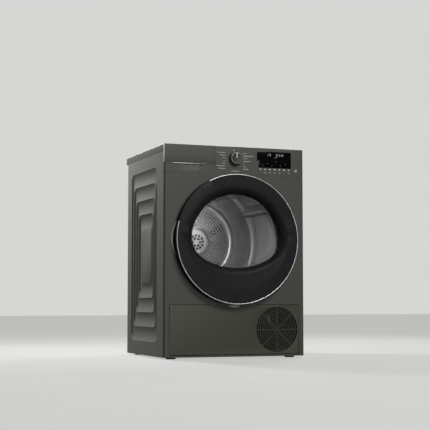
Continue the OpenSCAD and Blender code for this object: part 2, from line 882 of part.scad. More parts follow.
module door_bowl() {
    s = (bowl_r * bowl_r + bowl_d * bowl_d) / (2 * bowl_d);
    reach = asin(bowl_r / s);
    y0 = glass_y + 2 * glass_t;
    steps = 12;
    // Arc of the bowl's section, a wall inside its outer face
    arc = function (in) [for (i = [0:steps])
        let (a = reach * i / steps)
            [(s - in) * sin(a), y0 + bowl_d - s + (s - in) * cos(a)]];
    outside = arc(0);
    inside = arc(glass_t);
    color("#aeb6ba", 0.35)
        spun(door_z)
            polygon(concat(outside, [[boss_r - 1, y0], [boss_r - 1, y0 - glass_t]],
                [for (i = [steps:-1:0]) inside[i]]));
}

module door_back_frame() {
    back = door_back_y;
    spacer_r = door_r - 19;
    color("#8d8f90") difference() {
        union() {
            spun(door_z) {
                translate([boss_r, back]) square([door_r - 7 - boss_r, back_t]);
                translate([boss_r, back]) square([4, 27]);
                translate([bowl_r + 1, back + 25]) square([boss_r - bowl_r + 1, 2]);
            }
            // Spacers that reach the moulded frame
            for (a = [45, 135, 225, 315])
                bar_y(4, spacer_r * cos(a), door_z + spacer_r * sin(a), door_y + shell_t + 0.8 + dish(a) / 2, back);
        }
        block([hinge_x - 10, back - past, door_z - hinge_h / 2 - 2.5],
            [hinge_x + 20, back + back_t + past, door_z + hinge_h / 2 + 2.5]);
    }
}

// Fixed half of the hinge: a plate behind the front panel and an arm with one barrel
module door_hinge_bracket() {
    y1 = front_y + sheet;
    h = hinge_h / 2;
    color("#9fa2a4") difference() {
        union() {
            block([hinge_x - 34, y1, door_z - 46], [hinge_x + 16, y1 + 3, door_z + 46]);
            block([hinge_x - 2, hinge_y, door_z - h], [hinge_x + 2, y1 + 3, door_z + h]);
            bar_z(hinge_barrel_r, hinge_x, hinge_y, door_z - h, door_z + h);
        }
        bar_z(hinge_pin_r + run_fit, hinge_x, hinge_y, door_z - h - past, door_z + h + past);
    }
}

// Moving half: a leaf on the door's inner frame, two barrels and the pin
module door_hinge_leaf() {
    h = hinge_h / 2;
    k = 14;
    color("#9fa2a4") {
        for (s = [0, 1])
            translate([0, 0, door_z + (s == 0 ? h + 1 : -h - 1 - k)]) {
                bar_z(hinge_barrel_r, hinge_x, hinge_y, 0, k);
                block([hinge_x - 34, door_back_y - 3, 0], [hinge_x - 6, door_back_y, k]);
                block([hinge_x - 12, hinge_y - 2, 0], [hinge_x - 6, door_back_y - 3, k]);
                block([hinge_x - 12, hinge_y - 2, 0], [hinge_x, hinge_y + 2, k]);
            }
        block([hinge_x - 34, door_back_y - 3, door_z - h - 1 - k], [hinge_x - 24, door_back_y, door_z + h + 1 + k]);
        bar_z(hinge_pin_r, hinge_x, hinge_y, door_z - h - k, door_z + h + k);
    }
}

module door_latch_hook() {
    y0 = door_back_y + back_t;
    color("#d9dada") {
        block([latch_x - 2, y0, door_z - 9], [latch_x + 2, front_y + 10, door_z + 9]);
        block([latch_x - 4.5, front_y + 6, door_z - 9], [latch_x - 2, front_y + 10, door_z + 9]);
    }
}

// ---- Drum ----

// Wall profile with three rolled beads, and a front flange that turns in to the collar
module drum_shell() {
    r = drum_r - 2.5;
    t = drum_sheet;
    len_y = drum_rear_y - drum_front_y;
    beads = [for (f = [0.12, 0.55, 0.9]) drum_front_y + f * len_y];
    color("#b9bbbb") spun(drum_z) {
        translate([r - t, drum_front_y]) square([t, len_y]);
        for (y = beads) difference() {
            translate([r - t, y]) circle(r = 3.7);
            translate([r - t, y]) circle(r = 3.7 - t);
            translate([r - t - 5, y - 5]) square([5, 10]);
        }
        translate([drum_collar_r, drum_front_y]) square([r - drum_collar_r, t]);
        translate([drum_collar_r, drum_front_y - 14]) square([t, 14 + t]);
    }
}

back_hub_r = 58;
back_ring_r = 165;

// Section of the drum's back, a distance d behind its front face: a raised hub, the flat
// field of air holes, a pressed ring and a round corner that ends in a short flange
function back_profile(d) =
    let (r = drum_r - 2.5 - drum_sheet,
        c = back_corner_r,
        y0 = back_y + drum_sheet - c,
        bend = c - drum_sheet + d)
        concat(
            [[0, back_y - 5 + d], [back_hub_r, back_y - 5 + d], [back_hub_r + 8, back_y + d],
                [back_ring_r - 13, back_y + d]],
            [for (a = [15:15:165]) [back_ring_r - 12 * cos(a), back_y + d - 5 * sin(a)]],
            [[back_ring_r + 13, back_y + d]],
            [for (a = [0:15:90]) [r - c + bend * sin(a), y0 + bend * cos(a)]],
            [[r - drum_sheet + d, y0 - 6]]);

module drum_back() {
    row_pitch = 15;
    first_row = back_hub_r + 22;
    front = back_profile(0);
    rear = back_profile(drum_sheet);
    color("#aeb0b0") difference() {
        spun(drum_z) polygon(concat(front, [for (i = [len(rear) - 1:-1:0]) rear[i]]));
        for (k = [0:hole_rows - 1])
            let (row = first_row + k * row_pitch, n = 16 + 6 * k)
                for (i = [0:n - 1])
                    let (a = 360 * (i + k / 2) / n)
                        bar_y(hole_r, row * cos(a), drum_z + row * sin(a), back_y - past, back_y + drum_sheet + past);
        bar_y(5, 0, drum_z, back_y - 6, back_y + 6);
    }
}

module drum_lifters() {
    w = 58;
    r = drum_r - 2.5 - drum_sheet;
    y0 = drum_front_y + 8;
    y1 = back_y - back_corner_r - 8;
    color("#a7a9a9")
        translate([0, 0, drum_z])
            for (i = [0:lifters - 1])
                rotate([0, 90 + 360 * i / lifters, 0])
                    slab(y0, y1)
                        intersection() {
                            circle(r = r - 0.2);
                            union() {
                                translate([r - lifter_h + 12, 0]) circle(r = 12);
                                polygon([[r - lifter_h + 12, -12], [r - lifter_h + 12, 12], [r, w / 2], [r, -w / 2]]);
                            }
                        }
}

module drum_shaft() {
    y0 = back_y + drum_sheet;
    color("#8b8d8f") {
        bar_y(shaft_r, 0, drum_z, back_y - 5 + drum_sheet, rear_y + 8);
        for (a = [30, 150, 270])
            slab(y0, y0 + 5)
                translate([0, drum_z])
                    rotate(a) {
                        translate([0, -14]) square([drum_r - 52, 28]);
                    }
        bar_y(40, 0, drum_z, y0, y0 + 5);
    }
}

// ---- Drive ----

// Where the belt's middle line runs over each pulley
belt_gap = 0.4;
belt_drum_r = drum_r + belt_gap + belt_t / 2;
belt_motor_r = pulley_r + belt_gap + belt_t / 2;
belt_idler_r = idler_r + belt_gap + belt_t / 2;

function arc_points(c, r, a0, a1, n) =
    [for (i = [0:n]) let (a = a0 + (a1 - a0) * i / n) c + r * [cos(a), sin(a)]];

// Belt line moved out by d: round the drum, over the idler and round the motor's shaft end
function belt_path(d) =
    let (drum = [0, drum_z], motor = [motor_x, motor_z], idler = [idler_x, idler_z],
        vm = motor - drum, vi = idler - drum, wi = idler - motor,
        am = atan2(vm[1], vm[0]) + acos((belt_drum_r - belt_motor_r) / norm(vm)),
        ai = atan2(vi[1], vi[0]) - acos((belt_drum_r + belt_idler_r) / norm(vi)),
        ao = (atan2(wi[1], wi[0]) + 360) % 360 + acos((belt_motor_r + belt_idler_r) / norm(wi)))
        concat(
            arc_points(drum, belt_drum_r + d, am, ai + 360, 90),
            arc_points(idler, belt_idler_r - d, ai + 180, ao - 180, 8),
            arc_points(motor, belt_motor_r + d, ao - 360, am, 16));

module drive_belt() {
    color("#1b1b1b")
        slab(belt_y - belt_w / 2, belt_y + belt_w / 2)
            difference() {
                polygon(belt_path(belt_t / 2));
                polygon(belt_path(-belt_t / 2));
            }
}

module motor_housing() {
    y1 = motor_y + motor_l;
    color("#75787b") difference() {
        union() {
            bar_y(motor_r, motor_x, motor_z, motor_y + 12, y1 - 12);
            bar_y(motor_r - 8, motor_x, motor_z, motor_y, motor_y + 12);
            bar_y(motor_r - 8, motor_x, motor_z, y1 - 12, y1);
            for (a = [0:30:330])
                slab(motor_y + 18, y1 - 18)
                    translate([motor_x, motor_z])
                        rotate(a) translate([motor_r - 1, -1.5]) square([3, 3]);
            // Feet on the base's floor
            for (x = [-46, 30])
                block([motor_x + x, motor_y + 20, floor_z], [motor_x + x + 16, y1 - 20, motor_z - 40]);
        }
        bar_y(rotor_r + run_fit, motor_x, motor_z, motor_y - past, y1 + past);
    }
}

rotor_r = 8;

module motor_rotor() {
    color("#9a9da0") {
        bar_y(pulley_r, motor_x, motor_z, belt_y - 7, bracket_y - 2);
        bar_y(rotor_r, motor_x, motor_z, bracket_y - 2, blower_y + 14);
        bar_y(pulley_r + 4, motor_x, motor_z, belt_y - 9, belt_y - 7);
    }
}

module motor_bracket() {
    color("#83878a") difference() {
        union() {
            slab(bracket_y, bracket_y + bracket_t)
                plate2d([motor_x - 92, floor_z], [motor_x + 72, motor_z + 74], 10);
            block([motor_x - 92, bracket_y, floor_z], [motor_x + 72, bracket_y + 30, floor_z + 3]);
            bar_y(4, arm_x, arm_z, bracket_y - 8, bracket_y);
        }
        bar_y(22, motor_x, motor_z, bracket_y - past, bracket_y + bracket_t + past);
        block([motor_x - 80, bracket_y + bracket_t, floor_z - past], [motor_x + 60, bracket_y + 40, floor_z + 4]);
    }
}

// Arm that presses the idler against the belt
module tension_arm() {
    y0 = bracket_y - 6;
    t = 3.5;
    v = [idler_x - arm_x, idler_z - arm_z];
    color("#7e8285") difference() {
        union() {
            slab(y0, y0 + t) translate([arm_x, arm_z]) rotate(atan2(v[1], v[0])) translate([0, -7]) square([norm(v), 14]);
            bar_y(9, arm_x, arm_z, y0 - 1, y0 + 5.7);
            bar_y(7, idler_x, idler_z, y0, y0 + t);
            bar_y(4, idler_x, idler_z, belt_y - 8, y0);
        }
        bar_y(4 + run_fit, arm_x, arm_z, y0 - 2, y0 + 6);
    }
}

module idler_pulley() {
    w = 6;
    web = 3;
    bore = 4 + run_fit;
    rim = idler_r - 4;
    color("#d8d6cc")
        translate([idler_x, 0, 0])
            spun(idler_z)
                translate([0, belt_y])
                    polygon([[bore, -w], [9, -w], [9, -web], [rim, -web], [rim, -w], [idler_r + 2, -w],
                        [idler_r + 2, 1 - w], [idler_r, 1 - w], [idler_r, w - 1], [idler_r + 2, w - 1],
                        [idler_r + 2, w], [rim, w], [rim, web], [9, web], [9, w], [bore, w]]);
}

module blower_wheel() {
    w = 26;
    color("#3e4042") {
        difference() {
            union() {
                // Front ring that ties the blades together
                slab(blower_y, blower_y + 3)
                    translate([motor_x, motor_z])
                        difference() {
                            circle(r = blower_r);
                            circle(r = blower_r - 24);
                        }
                bar_y(blower_r, motor_x, motor_z, blower_y + w, blower_y + w + 1.6);
                bar_y(16, motor_x, motor_z, blower_y + 4, blower_y + w);
                // Curved blades
                for (i = [0:blower_blades - 1])
                    translate([motor_x, 0, motor_z])
                        rotate([0, 360 * i / blower_blades, 0])
                            slab(blower_y + 2, blower_y + w + 1)
                                intersection() {
                                    translate([blower_r - 22, 0])
                                        difference() {
                                            circle(r = 20);
                                            circle(r = 18.6);
                                        }
                                    translate([blower_r - 22, 4]) square([20, 16]);
                                }
            }
            bar_y(rotor_r, motor_x, motor_z, blower_y - past, blower_y + 14);
        }
    }
}

module blower_housing() {
    y0 = blower_y - 2.5;
    y1 = rear_y - sheet;
    color("#45484a") difference() {
        bar_y(blower_case_r, motor_x, motor_z, y0, y1);
        bar_y(blower_case_r - 2.5, motor_x, motor_z, y0 + 2.2, y1 + past);
        bar_y(34, motor_x, motor_z, y0 - past, y0 + 4);
    }
}

// ---- Heat pump ----

compressor_x = half_w - 103;
compressor_y = front_y + 150;
compressor_r = 56;
compressor_h = 154;
compressor_dome = 22;

module compressor() {
    z0 = base_z + 26;
    color("#26282a") {
        translate([compressor_x, compressor_y, 0])
            rotate_extrude() polygon(concat(
                [[0, z0], [compressor_r - 8, z0], [compressor_r, z0 + 8]],
                [for (a = [0:15:90]) [compressor_r, z0 + compressor_h] - compressor_dome * [1 - cos(a), 1 - sin(a)]],
                [[0, z0 + compressor_h]]));
        // Foot plate on its rubber mounts
        for (a = [30, 150, 270])
            translate([compressor_x, compressor_y, z0 - 3])
                rotate(a) translate([0, -12]) cube([compressor_r + 22, 24, 3]);
        for (a = [30, 150, 270])
            bar_z(8, compressor_x + 66 * cos(a), compressor_y + 66 * sin(a), base_z + 22, z0 - 3);
    }
}

// Finned block: plates on tubes between two end plates
module fin_block(y0, y1, fins) {
    z0 = floor_z;
    z1 = exch_top - 2;
    x0 = exch_left;
    x1 = exch_right;
    step = (x1 - x0 - 12) / fins;
    block([x0, y0, z0], [x0 + 3, y1, z1]);
    block([x1 - 3, y0, z0], [x1, y1, z1]);
    for (i = [0:fins - 1])
        block([x0 + 6 + i * step, y0 + 2, z0], [x0 + 7 + i * step, y1 - 2, z1 - 2]);
    for (y = [y0 + 20:28:y1 - 16])
        for (z = [z0 + 22, (z0 + z1) / 2, z1 - 24])
            bar_x(4.5, y, z, x0 - 3, x1 + 5);
}

module evaporator() {
    color("#a9acaf") fin_block(evap_y, evap_y + evap_l, 26);
}

module condenser() {
    color("#a2a5a8") fin_block(cond_y, cond_y + cond_l, 26);
}

// Tube elbow in the plane of X and Y
module elbow(p, r, from) {
    translate(p) rotate([0, 0, from]) rotate_extrude(angle = 90) translate([r, 0]) circle(r = 4);
}

module refrigerant_pipes() {
    r = 14;
    za = exch_top - 50;
    zb = base_z + 60;
    x0 = exch_right + 10;
    reach = compressor_y + sqrt(pow(compressor_r, 2) - pow(36, 2)) + 0.1;
    color("#b4683c") {
        // Hot line from the compressor back to the condenser
        bar_x(4, cond_y + 24, za, x0, compressor_x - 40 - r);
        elbow([compressor_x - 40 - r, cond_y + 24 - r, za], r, 0);
        bar_y(4, compressor_x - 40, za, reach, cond_y + 24 - r);
        // Suction line from the evaporator
        bar_x(4, compressor_y, zb, x0, compressor_x - compressor_r);
    }
}

module condensate_pump() {
    x0 = -half_w + 60;
    y0 = rear_y - 110;
    color("#4a5a66") {
        block([x0, y0, floor_z], [x0 + 62, y0 + 54, floor_z + 46]);
        bar_z(20, x0 + 31, y0 + 27, floor_z + 46, floor_z + 74);
        bar_z(5, x0 + 50, y0 + 46, floor_z + 46, floor_z + 60);
        bar_z(6, x0 + 31, y0 + 27, floor_z + 74, floor_z + 82);
    }
}

module cooling_fan_frame() {
    color("#2a2b2c") difference() {
        union() {
            slab(fan_y, fan_y + fan_t)
                difference() {
                    translate([grille_x, grille_z]) plate2d([-fan_half, -fan_half], [fan_half, fan_half], 8);
                    translate([grille_x, grille_z]) circle(r = fan_r + 1.5);
                }
            slab(fan_y + fan_t - 3, fan_y + fan_t)
                translate([grille_x, grille_z]) {
                    circle(r = 21);
                    for (a = [45:90:315]) rotate(a) translate([0, -4]) square([fan_r + 4, 8]);
                }
            // Foot on the base's floor
            block([grille_x - fan_half + 6, fan_y + 4, floor_z],
                [foot_socket_x - 2, fan_y + fan_t, grille_z - fan_half + 2]);
        }
        bar_y(3 + run_fit, grille_x, grille_z, fan_y + fan_t - 3 - past, fan_y + fan_t + past);
    }
}

module cooling_fan_rotor() {
    y0 = fan_y + 2;
    color("#3c3e40") {
        bar_y(22, grille_x, grille_z, y0, fan_y + fan_t - 3.5);
        bar_y(3, grille_x, grille_z, fan_y + fan_t - 3.5, fan_y + fan_t);
        for (i = [0:6])
            translate([grille_x, y0 + 9, grille_z])
                rotate([0, 360 * i / 7, 0])
                    rotate([35, 0, 0])
                        translate([20, -1, -13]) cube([fan_r - 21, 2, 26]);
    }
}

module exchanger_cover() {
    y0 = seam_y - 2;
    z0 = base_z + 25;
    middle_x = (exch_left + exch_right) / 2;
    color("#55585a") difference() {
        union() {
            slab(y0, y0 + 3) plate2d([exch_left + 1, z0], [exch_right + 1, exch_top + 2], 6);
            slab(y0, y0 + 11)
                difference() {
                    plate2d([exch_left + 6, z0 + 5], [exch_right - 4, exch_top - 4], 6);
                    plate2d([exch_left + 9, z0 + 8], [exch_right - 7, exch_top - 7], 4);
                }
            // Hand grip
            for (z = [latch_z - 9, latch_z + 7])
                block([middle_x - 42, y0 - 2.5, z], [middle_x + 42, y0, z + 2]);
        }
        for (x = latch_places) bar_y(3 + run_fit, x, latch_z, y0 - past, y0 + 4);
    }
}

latch_places = [exch_left + 16, exch_right - 14];
latch_z = (base_z + 25 + exch_top) / 2;

// Turning catch of the exchanger cover: locked, its nose reaches over the base's wall
module turning_catch(x, side) {
    y0 = seam_y - 2 - play;
    color("#8f9394") {
        slab(y0 - 2.5, y0)
            translate([x, latch_z])
                mirror([side < 0 ? 1 : 0, 0])
                    plate2d([-5, -5], [24, 5], 4.5);
        bar_y(3, x, latch_z, y0, y0 + 3);
    }
}

module duct_cover() {
    z0 = exch_top + 4;
    y1 = cond_y + cond_l + 8;
    color("#4d5052") {
        block([exch_left - 8, bulkhead_y + 6, z0], [exch_right + 10, y1, z0 + 3]);
        block([exch_left - 4, y1 - 3, floor_z], [exch_right + 6, y1, z0]);
        for (x = [exch_left + 60, exch_left + 140]) block([x, bulkhead_y + 10, z0 + 3], [x + 3, y1 - 6, z0 + 6]);
    }
}

// ---- Rear details ----

module rear_connectors() {
    color("#222324") {
        // Gland of the mains lead
        difference() {
            union() {
                bar_y(11, half_w - 46, base_z + 112, rear_y, rear_y + 5);
                bar_y(8, half_w - 46, base_z + 112, rear_y + 5, rear_y + 14);
            }
            bar_y(4, half_w - 46, base_z + 112, rear_y - past, rear_y + 15);
        }
    }
    color("#303234") difference() {
        union() {
            bar_y(12, -half_w + 60, top_z - 120, rear_y, rear_y + 3);
            bar_y(8, -half_w + 60, top_z - 120, rear_y + 3, rear_y + 22);
        }
        bar_y(5.5, -half_w + 60, top_z - 120, rear_y - past, rear_y + 23);
    }
}

module cabinet_screws() {
    color("#a7a9aa") {
        for (s = [-1, 1]) {
            for (z = [base_z + 40, (base_z + top_z) / 2, top_z - top_h - 24])
                rear_screw(s * (half_w - 12), z);
            for (x = [half_w - 199, half_w - 89]) rear_screw(s * x, top_z - top_h - 12);
        }
    }
}

module rear_screw(x, z) {
    difference() {
        bar_y(4.2, x, z, rear_y, rear_y + 2.4);
        slab(rear_y + 1.4, rear_y + 3)
            translate([x, z])
                for (a = [0, 90]) rotate(a) translate([-2.6, -0.5]) square([5.2, 1]);
    }
}

// ---- Kick flap ----

module grille_slots() {
    hub_r = 6;
    slot = 0.58;
    pitch = (grille_r - 1.3 - hub_r) / (grille_rings - 1 + slot);
    difference() {
        for (k = [0:grille_rings - 1])
            difference() {
                circle(r = hub_r + (k + slot) * pitch);
                circle(r = hub_r + k * pitch);
            }
        for (i = [0:grille_spokes / 2 - 1])
            rotate(45 + 360 * i / grille_spokes)
                translate([-grille_r - 2, -1.6]) square([2 * grille_r + 4, 3.2]);
    }
}

module kick_flap() {
    z0 = base_z + flap_bottom;
    z1 = base_z + flap_top;
    color("#4b4c47") difference() {
        union() {
            slab(front_y, front_y + flap_t) plate2d([-flap_half, z0], [flap_half, z1], 2);
            // Turned-in rim
            slab(front_y + flap_t, front_y + flap_depth)
                difference() {
                    plate2d([-flap_half, z0 + 10], [flap_half, z1], 2);
                    plate2d([-flap_half + 2, z0 + 12], [flap_half - 2, z1 - 2], 2);
                }
            // Collar round the grille
            slab(front_y + flap_t, front_y + flap_depth - 1)
                translate([grille_x, grille_z])
                    difference() {
                        circle(r = grille_r + 3);
                        circle(r = grille_r + 1);
                    }
            // Pins and their arms
            for (s = [-1, 1])
                mirror([s < 0 ? 1 : 0, 0, 0]) {
                    block([flap_half - 10, front_y + flap_t, flap_pin_z - 4], [flap_half - 2, flap_pin_y + 4, flap_pin_z + 4]);
                    bar_x(flap_pin_r, flap_pin_y, flap_pin_z, flap_half - 8, flap_half + 9);
                }
        }
        slab(front_y - past, front_y + flap_t + past) translate([grille_x, grille_z]) grille_slots();
        // Finger notch in the middle of the top edge
        slab(front_y - past, front_y + flap_depth + past)
            polygon([[-31, z1 + past], [-21, z1 - 10], [21, z1 - 10], [31, z1 + past]]);
    }
}

// ---- Lint filter ----

module lint_filter() {
    y1 = filter_y + filter_t;
    z0 = filter_low_z;
    z1 = filter_low_z + filter_h;
    color("#6f7577") difference() {
        block([-filter_w / 2, filter_y, z0], [filter_w / 2, y1, z1]);
        block([-filter_w / 2 + 5, filter_y + 2, z0 + 5], [filter_w / 2 - 5, y1 - 2, z1 + past]);
        for (i = [0:2])
            let (x = -filter_w / 2 + 9 + i * (filter_w - 18) / 3)
                block([x, filter_y - past, z0 + 9], [x + (filter_w - 18) / 3 - 4, y1 + past, z1 - 22]);
    }
}

// ---- Feet ----

module foot(sx, y) {
    x = sx * (half_w - foot_in);
    pad = foot_gap - 0.5;
    color("#232425") {
        translate([x, y, 0])
            rotate_extrude() polygon([[0, 0], [foot_r - 1, 0], [foot_r, 1], [foot_r - 2, pad], [0, pad]]);
        bar_z(stem_r, x, y, pad, base_z + socket_h - 2);
    }
}

module foot_front_left() {
    foot(-1, foot_ends[0]);
}

module foot_front_right() {
    foot(1, foot_ends[0]);
}

module foot_rear_left() {
    foot(-1, foot_ends[1]);
}

module foot_rear_right() {
    foot(1, foot_ends[1]);
}

module exchanger_latch_left() {
    turning_catch(latch_places[0], -1);
}

module exchanger_latch_right() {
    turning_catch(latch_places[1], 1);
}

base_tray();
left_side_panel();
right_side_panel();
rear_panel();
rear_duct_cover();
top_panel();
front_panel();
control_panel();
display_window();
control_board();
front_bulkhead();
drum_front_seal();
drum_rear_seal();
door_seal();
door_hinge_bracket();
rear_bearing();
tank_guide();
motor_housing();
motor_bracket();
drive_belt();
compressor();
evaporator();
condenser();
refrigerant_pipes();
blower_housing();
condensate_pump();
cooling_fan_frame();
exchanger_cover();
duct_cover();
rear_connectors();
cabinet_screws();
drum_shell();
drum_back();
drum_lifters();
drum_shaft();
motor_rotor();
blower_wheel();
idler_pulley();
tension_arm();
door_frame();
door_trim_ring();
door_glass();
door_bowl();
door_back_frame();
door_hinge_leaf();
door_latch_hook();
tank_front();
tank_handle_trim();
water_tank();
kick_flap();
program_knob();
start_button();
lint_filter();
cooling_fan_rotor();
exchanger_latch_left();
exchanger_latch_right();
foot_front_left();
foot_front_right();
foot_rear_left();
foot_rear_right();
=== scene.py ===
import json
import math

import bmesh
import bpy
from mathutils import Matrix, Vector


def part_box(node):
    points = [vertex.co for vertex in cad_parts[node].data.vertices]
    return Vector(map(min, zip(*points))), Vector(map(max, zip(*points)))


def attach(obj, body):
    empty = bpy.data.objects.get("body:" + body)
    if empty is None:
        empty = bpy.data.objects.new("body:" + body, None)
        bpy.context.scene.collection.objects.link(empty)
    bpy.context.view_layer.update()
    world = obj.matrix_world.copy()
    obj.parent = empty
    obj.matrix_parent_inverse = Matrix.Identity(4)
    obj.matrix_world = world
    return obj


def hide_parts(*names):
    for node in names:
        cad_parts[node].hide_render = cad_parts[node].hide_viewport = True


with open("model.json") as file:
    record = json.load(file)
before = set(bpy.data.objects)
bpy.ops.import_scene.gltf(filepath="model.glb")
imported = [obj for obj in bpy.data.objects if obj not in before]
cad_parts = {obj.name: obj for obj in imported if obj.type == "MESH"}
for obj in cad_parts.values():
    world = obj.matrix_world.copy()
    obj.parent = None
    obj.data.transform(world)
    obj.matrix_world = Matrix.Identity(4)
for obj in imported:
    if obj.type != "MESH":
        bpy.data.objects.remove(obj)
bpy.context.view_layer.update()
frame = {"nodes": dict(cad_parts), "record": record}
mm = 0.001
weld = 0.01 * mm  # vertices nearer than this become one
nearAxis = 0.02  # millimetres from the axis at which a turned profile ends


def sine(turn):
    return math.sin(math.radians(turn))


def cosine(turn):
    return math.cos(math.radians(turn))


# A share from 0 to 1 that starts and ends softly
def smoothShare(value):
    share = min(1, max(0, value))
    return share * share * (3 - 2 * share)


def linearColor(code):
    parts = [int(code[i:i + 2], 16) / 255 for i in (1, 3, 5)]
    return [p / 12.92 if p <= 0.04045 else ((p + 0.055) / 1.055) ** 2.4 for p in parts] + [1.0]


def addNode(tree, kind, values=None, links=None, **settings):
    node = tree.nodes.new(kind)
    for key, value in settings.items():
        setattr(node, key, value)
    for key, value in (values or {}).items():
        node.inputs[key].default_value = value
    for key, source in (links or {}).items():
        tree.links.new(source, node.inputs[key])
    return node


print("materials")


# A new material with its shader's plain values set on its own sockets
def startMaterial(name, code, roughness, **sockets):
    material = bpy.data.materials.new(name)
    material.use_nodes = True
    tree = material.node_tree
    shader = tree.nodes["Principled BSDF"]
    shader.inputs["Base Color"].default_value = linearColor(code)
    shader.inputs["Roughness"].default_value = roughness
    for key, value in sockets.items():
        shader.inputs[key.replace("_", " ")].default_value = value
    place = addNode(tree, "ShaderNodeTexCoord").outputs["Object"]
    return material, tree, shader, place


# Two colours mixed by a noise whose grain is given in millimetres
def speckle(tree, shader, place, codes, grain, stretch=(1, 1, 1)):
    size = addNode(tree, "ShaderNodeMapping", {"Scale": stretch}, {"Vector": place})
    noise = addNode(tree, "ShaderNodeTexNoise", {"Scale": 1 / (grain * mm), "Detail": 2.0},
                    {"Vector": size.outputs["Vector"]})
    ramp = addNode(tree, "ShaderNodeValToRGB", links={"Fac": noise.outputs["Fac"]})
    for element, at, code in zip(ramp.color_ramp.elements, (0.4, 0.6), codes):
        element.position = at
        element.color = linearColor(code)
    tree.links.new(ramp.outputs["Color"], shader.inputs["Base Color"])


# A bump in millimetres; uneven is how far the roughness strays from its middle
def texturedSurface(tree, shader, place, grain, height, stretch=(1, 1, 1), uneven=0):
    size = addNode(tree, "ShaderNodeMapping", {"Scale": stretch}, {"Vector": place})
    noise = addNode(tree, "ShaderNodeTexNoise", {"Scale": 1 / (grain * mm), "Detail": 3.0},
                    {"Vector": size.outputs["Vector"]})
    bump = addNode(tree, "ShaderNodeBump", {"Strength": 1.0, "Distance": height * mm},
                   {"Height": noise.outputs["Fac"]})
    tree.links.new(bump.outputs["Normal"], shader.inputs["Normal"])
    if uneven:
        middle = shader.inputs["Roughness"].default_value
        spread = addNode(tree, "ShaderNodeMapRange",
                         {"To Min": middle - uneven, "To Max": middle + uneven},
                         {"Value": noise.outputs["Fac"]})
        tree.links.new(spread.outputs["Result"], shader.inputs["Roughness"])


# A finish with two tones in clouds over a grained surface
def grainedFinish(name, codes, roughness, cloud, grain, height, uneven, stretch=(1, 1, 1),
                  **sockets):
    material, tree, shader, place = startMaterial(name, codes[0], roughness, **sockets)
    speckle(tree, shader, place, codes, cloud, stretch)
    texturedSurface(tree, shader, place, grain, height, stretch, uneven)
    return material


# Metallic powder enamel: sprayed and baked, so it has a soft orange peel and fine flakes
def powderEnamel(name, codes, roughness=0.5, flake=1.2, peel=3.0):
    return grainedFinish(name, codes, roughness, flake, peel, 0.01, 0.06, Metallic=0.12,
                         Specular_IOR_Level=0.25)


# Moulded plastic: a fine spark-eroded grain that dulls the gloss
def mouldedPlastic(name, codes, roughness=0.45, grain=0.9, height=0.02, **sockets):
    return grainedFinish(name, codes, roughness, 40, grain, height, 0.05, **sockets)


# Rolled or drawn metal: long fine scratches along one direction
def rolledMetal(name, codes, roughness, stretch, grain=2.5, height=0.006, uneven=0.08):
    return grainedFinish(name, codes, roughness, 30, grain, height, uneven, stretch, Metallic=1.0)


# Hot-dip galvanised sheet: crystals of zinc with slightly different greys
def zincSheet(name, codes, crystal=14, dullness=(0.36, 0.55)):
    material, tree, shader, place = startMaterial(name, codes[0], 0.45, Metallic=0.85)
    cells = addNode(tree, "ShaderNodeTexVoronoi", {"Scale": 1 / (crystal * mm)}, {"Vector": place})
    grey = addNode(tree, "ShaderNodeSeparateColor", links={"Color": cells.outputs["Color"]})
    ramp = addNode(tree, "ShaderNodeValToRGB", links={"Fac": grey.outputs["Red"]})
    for element, code in zip(ramp.color_ramp.elements, codes):
        element.color = linearColor(code)
    tree.links.new(ramp.outputs["Color"], shader.inputs["Base Color"])
    dull = addNode(tree, "ShaderNodeMapRange", {"To Min": dullness[0], "To Max": dullness[1]},
                   {"Value": grey.outputs["Green"]})
    tree.links.new(dull.outputs["Result"], shader.inputs["Roughness"])
    return material


# Glass seen straight through; its alpha is the share of the tint
def sheetGlass(name, code, alpha, roughness=0.04, wave=90, height=0.02):
    material, tree, shader, place = startMaterial(name, code, roughness, Alpha=alpha, IOR=1.52)
    texturedSurface(tree, shader, place, wave, height)
    return material


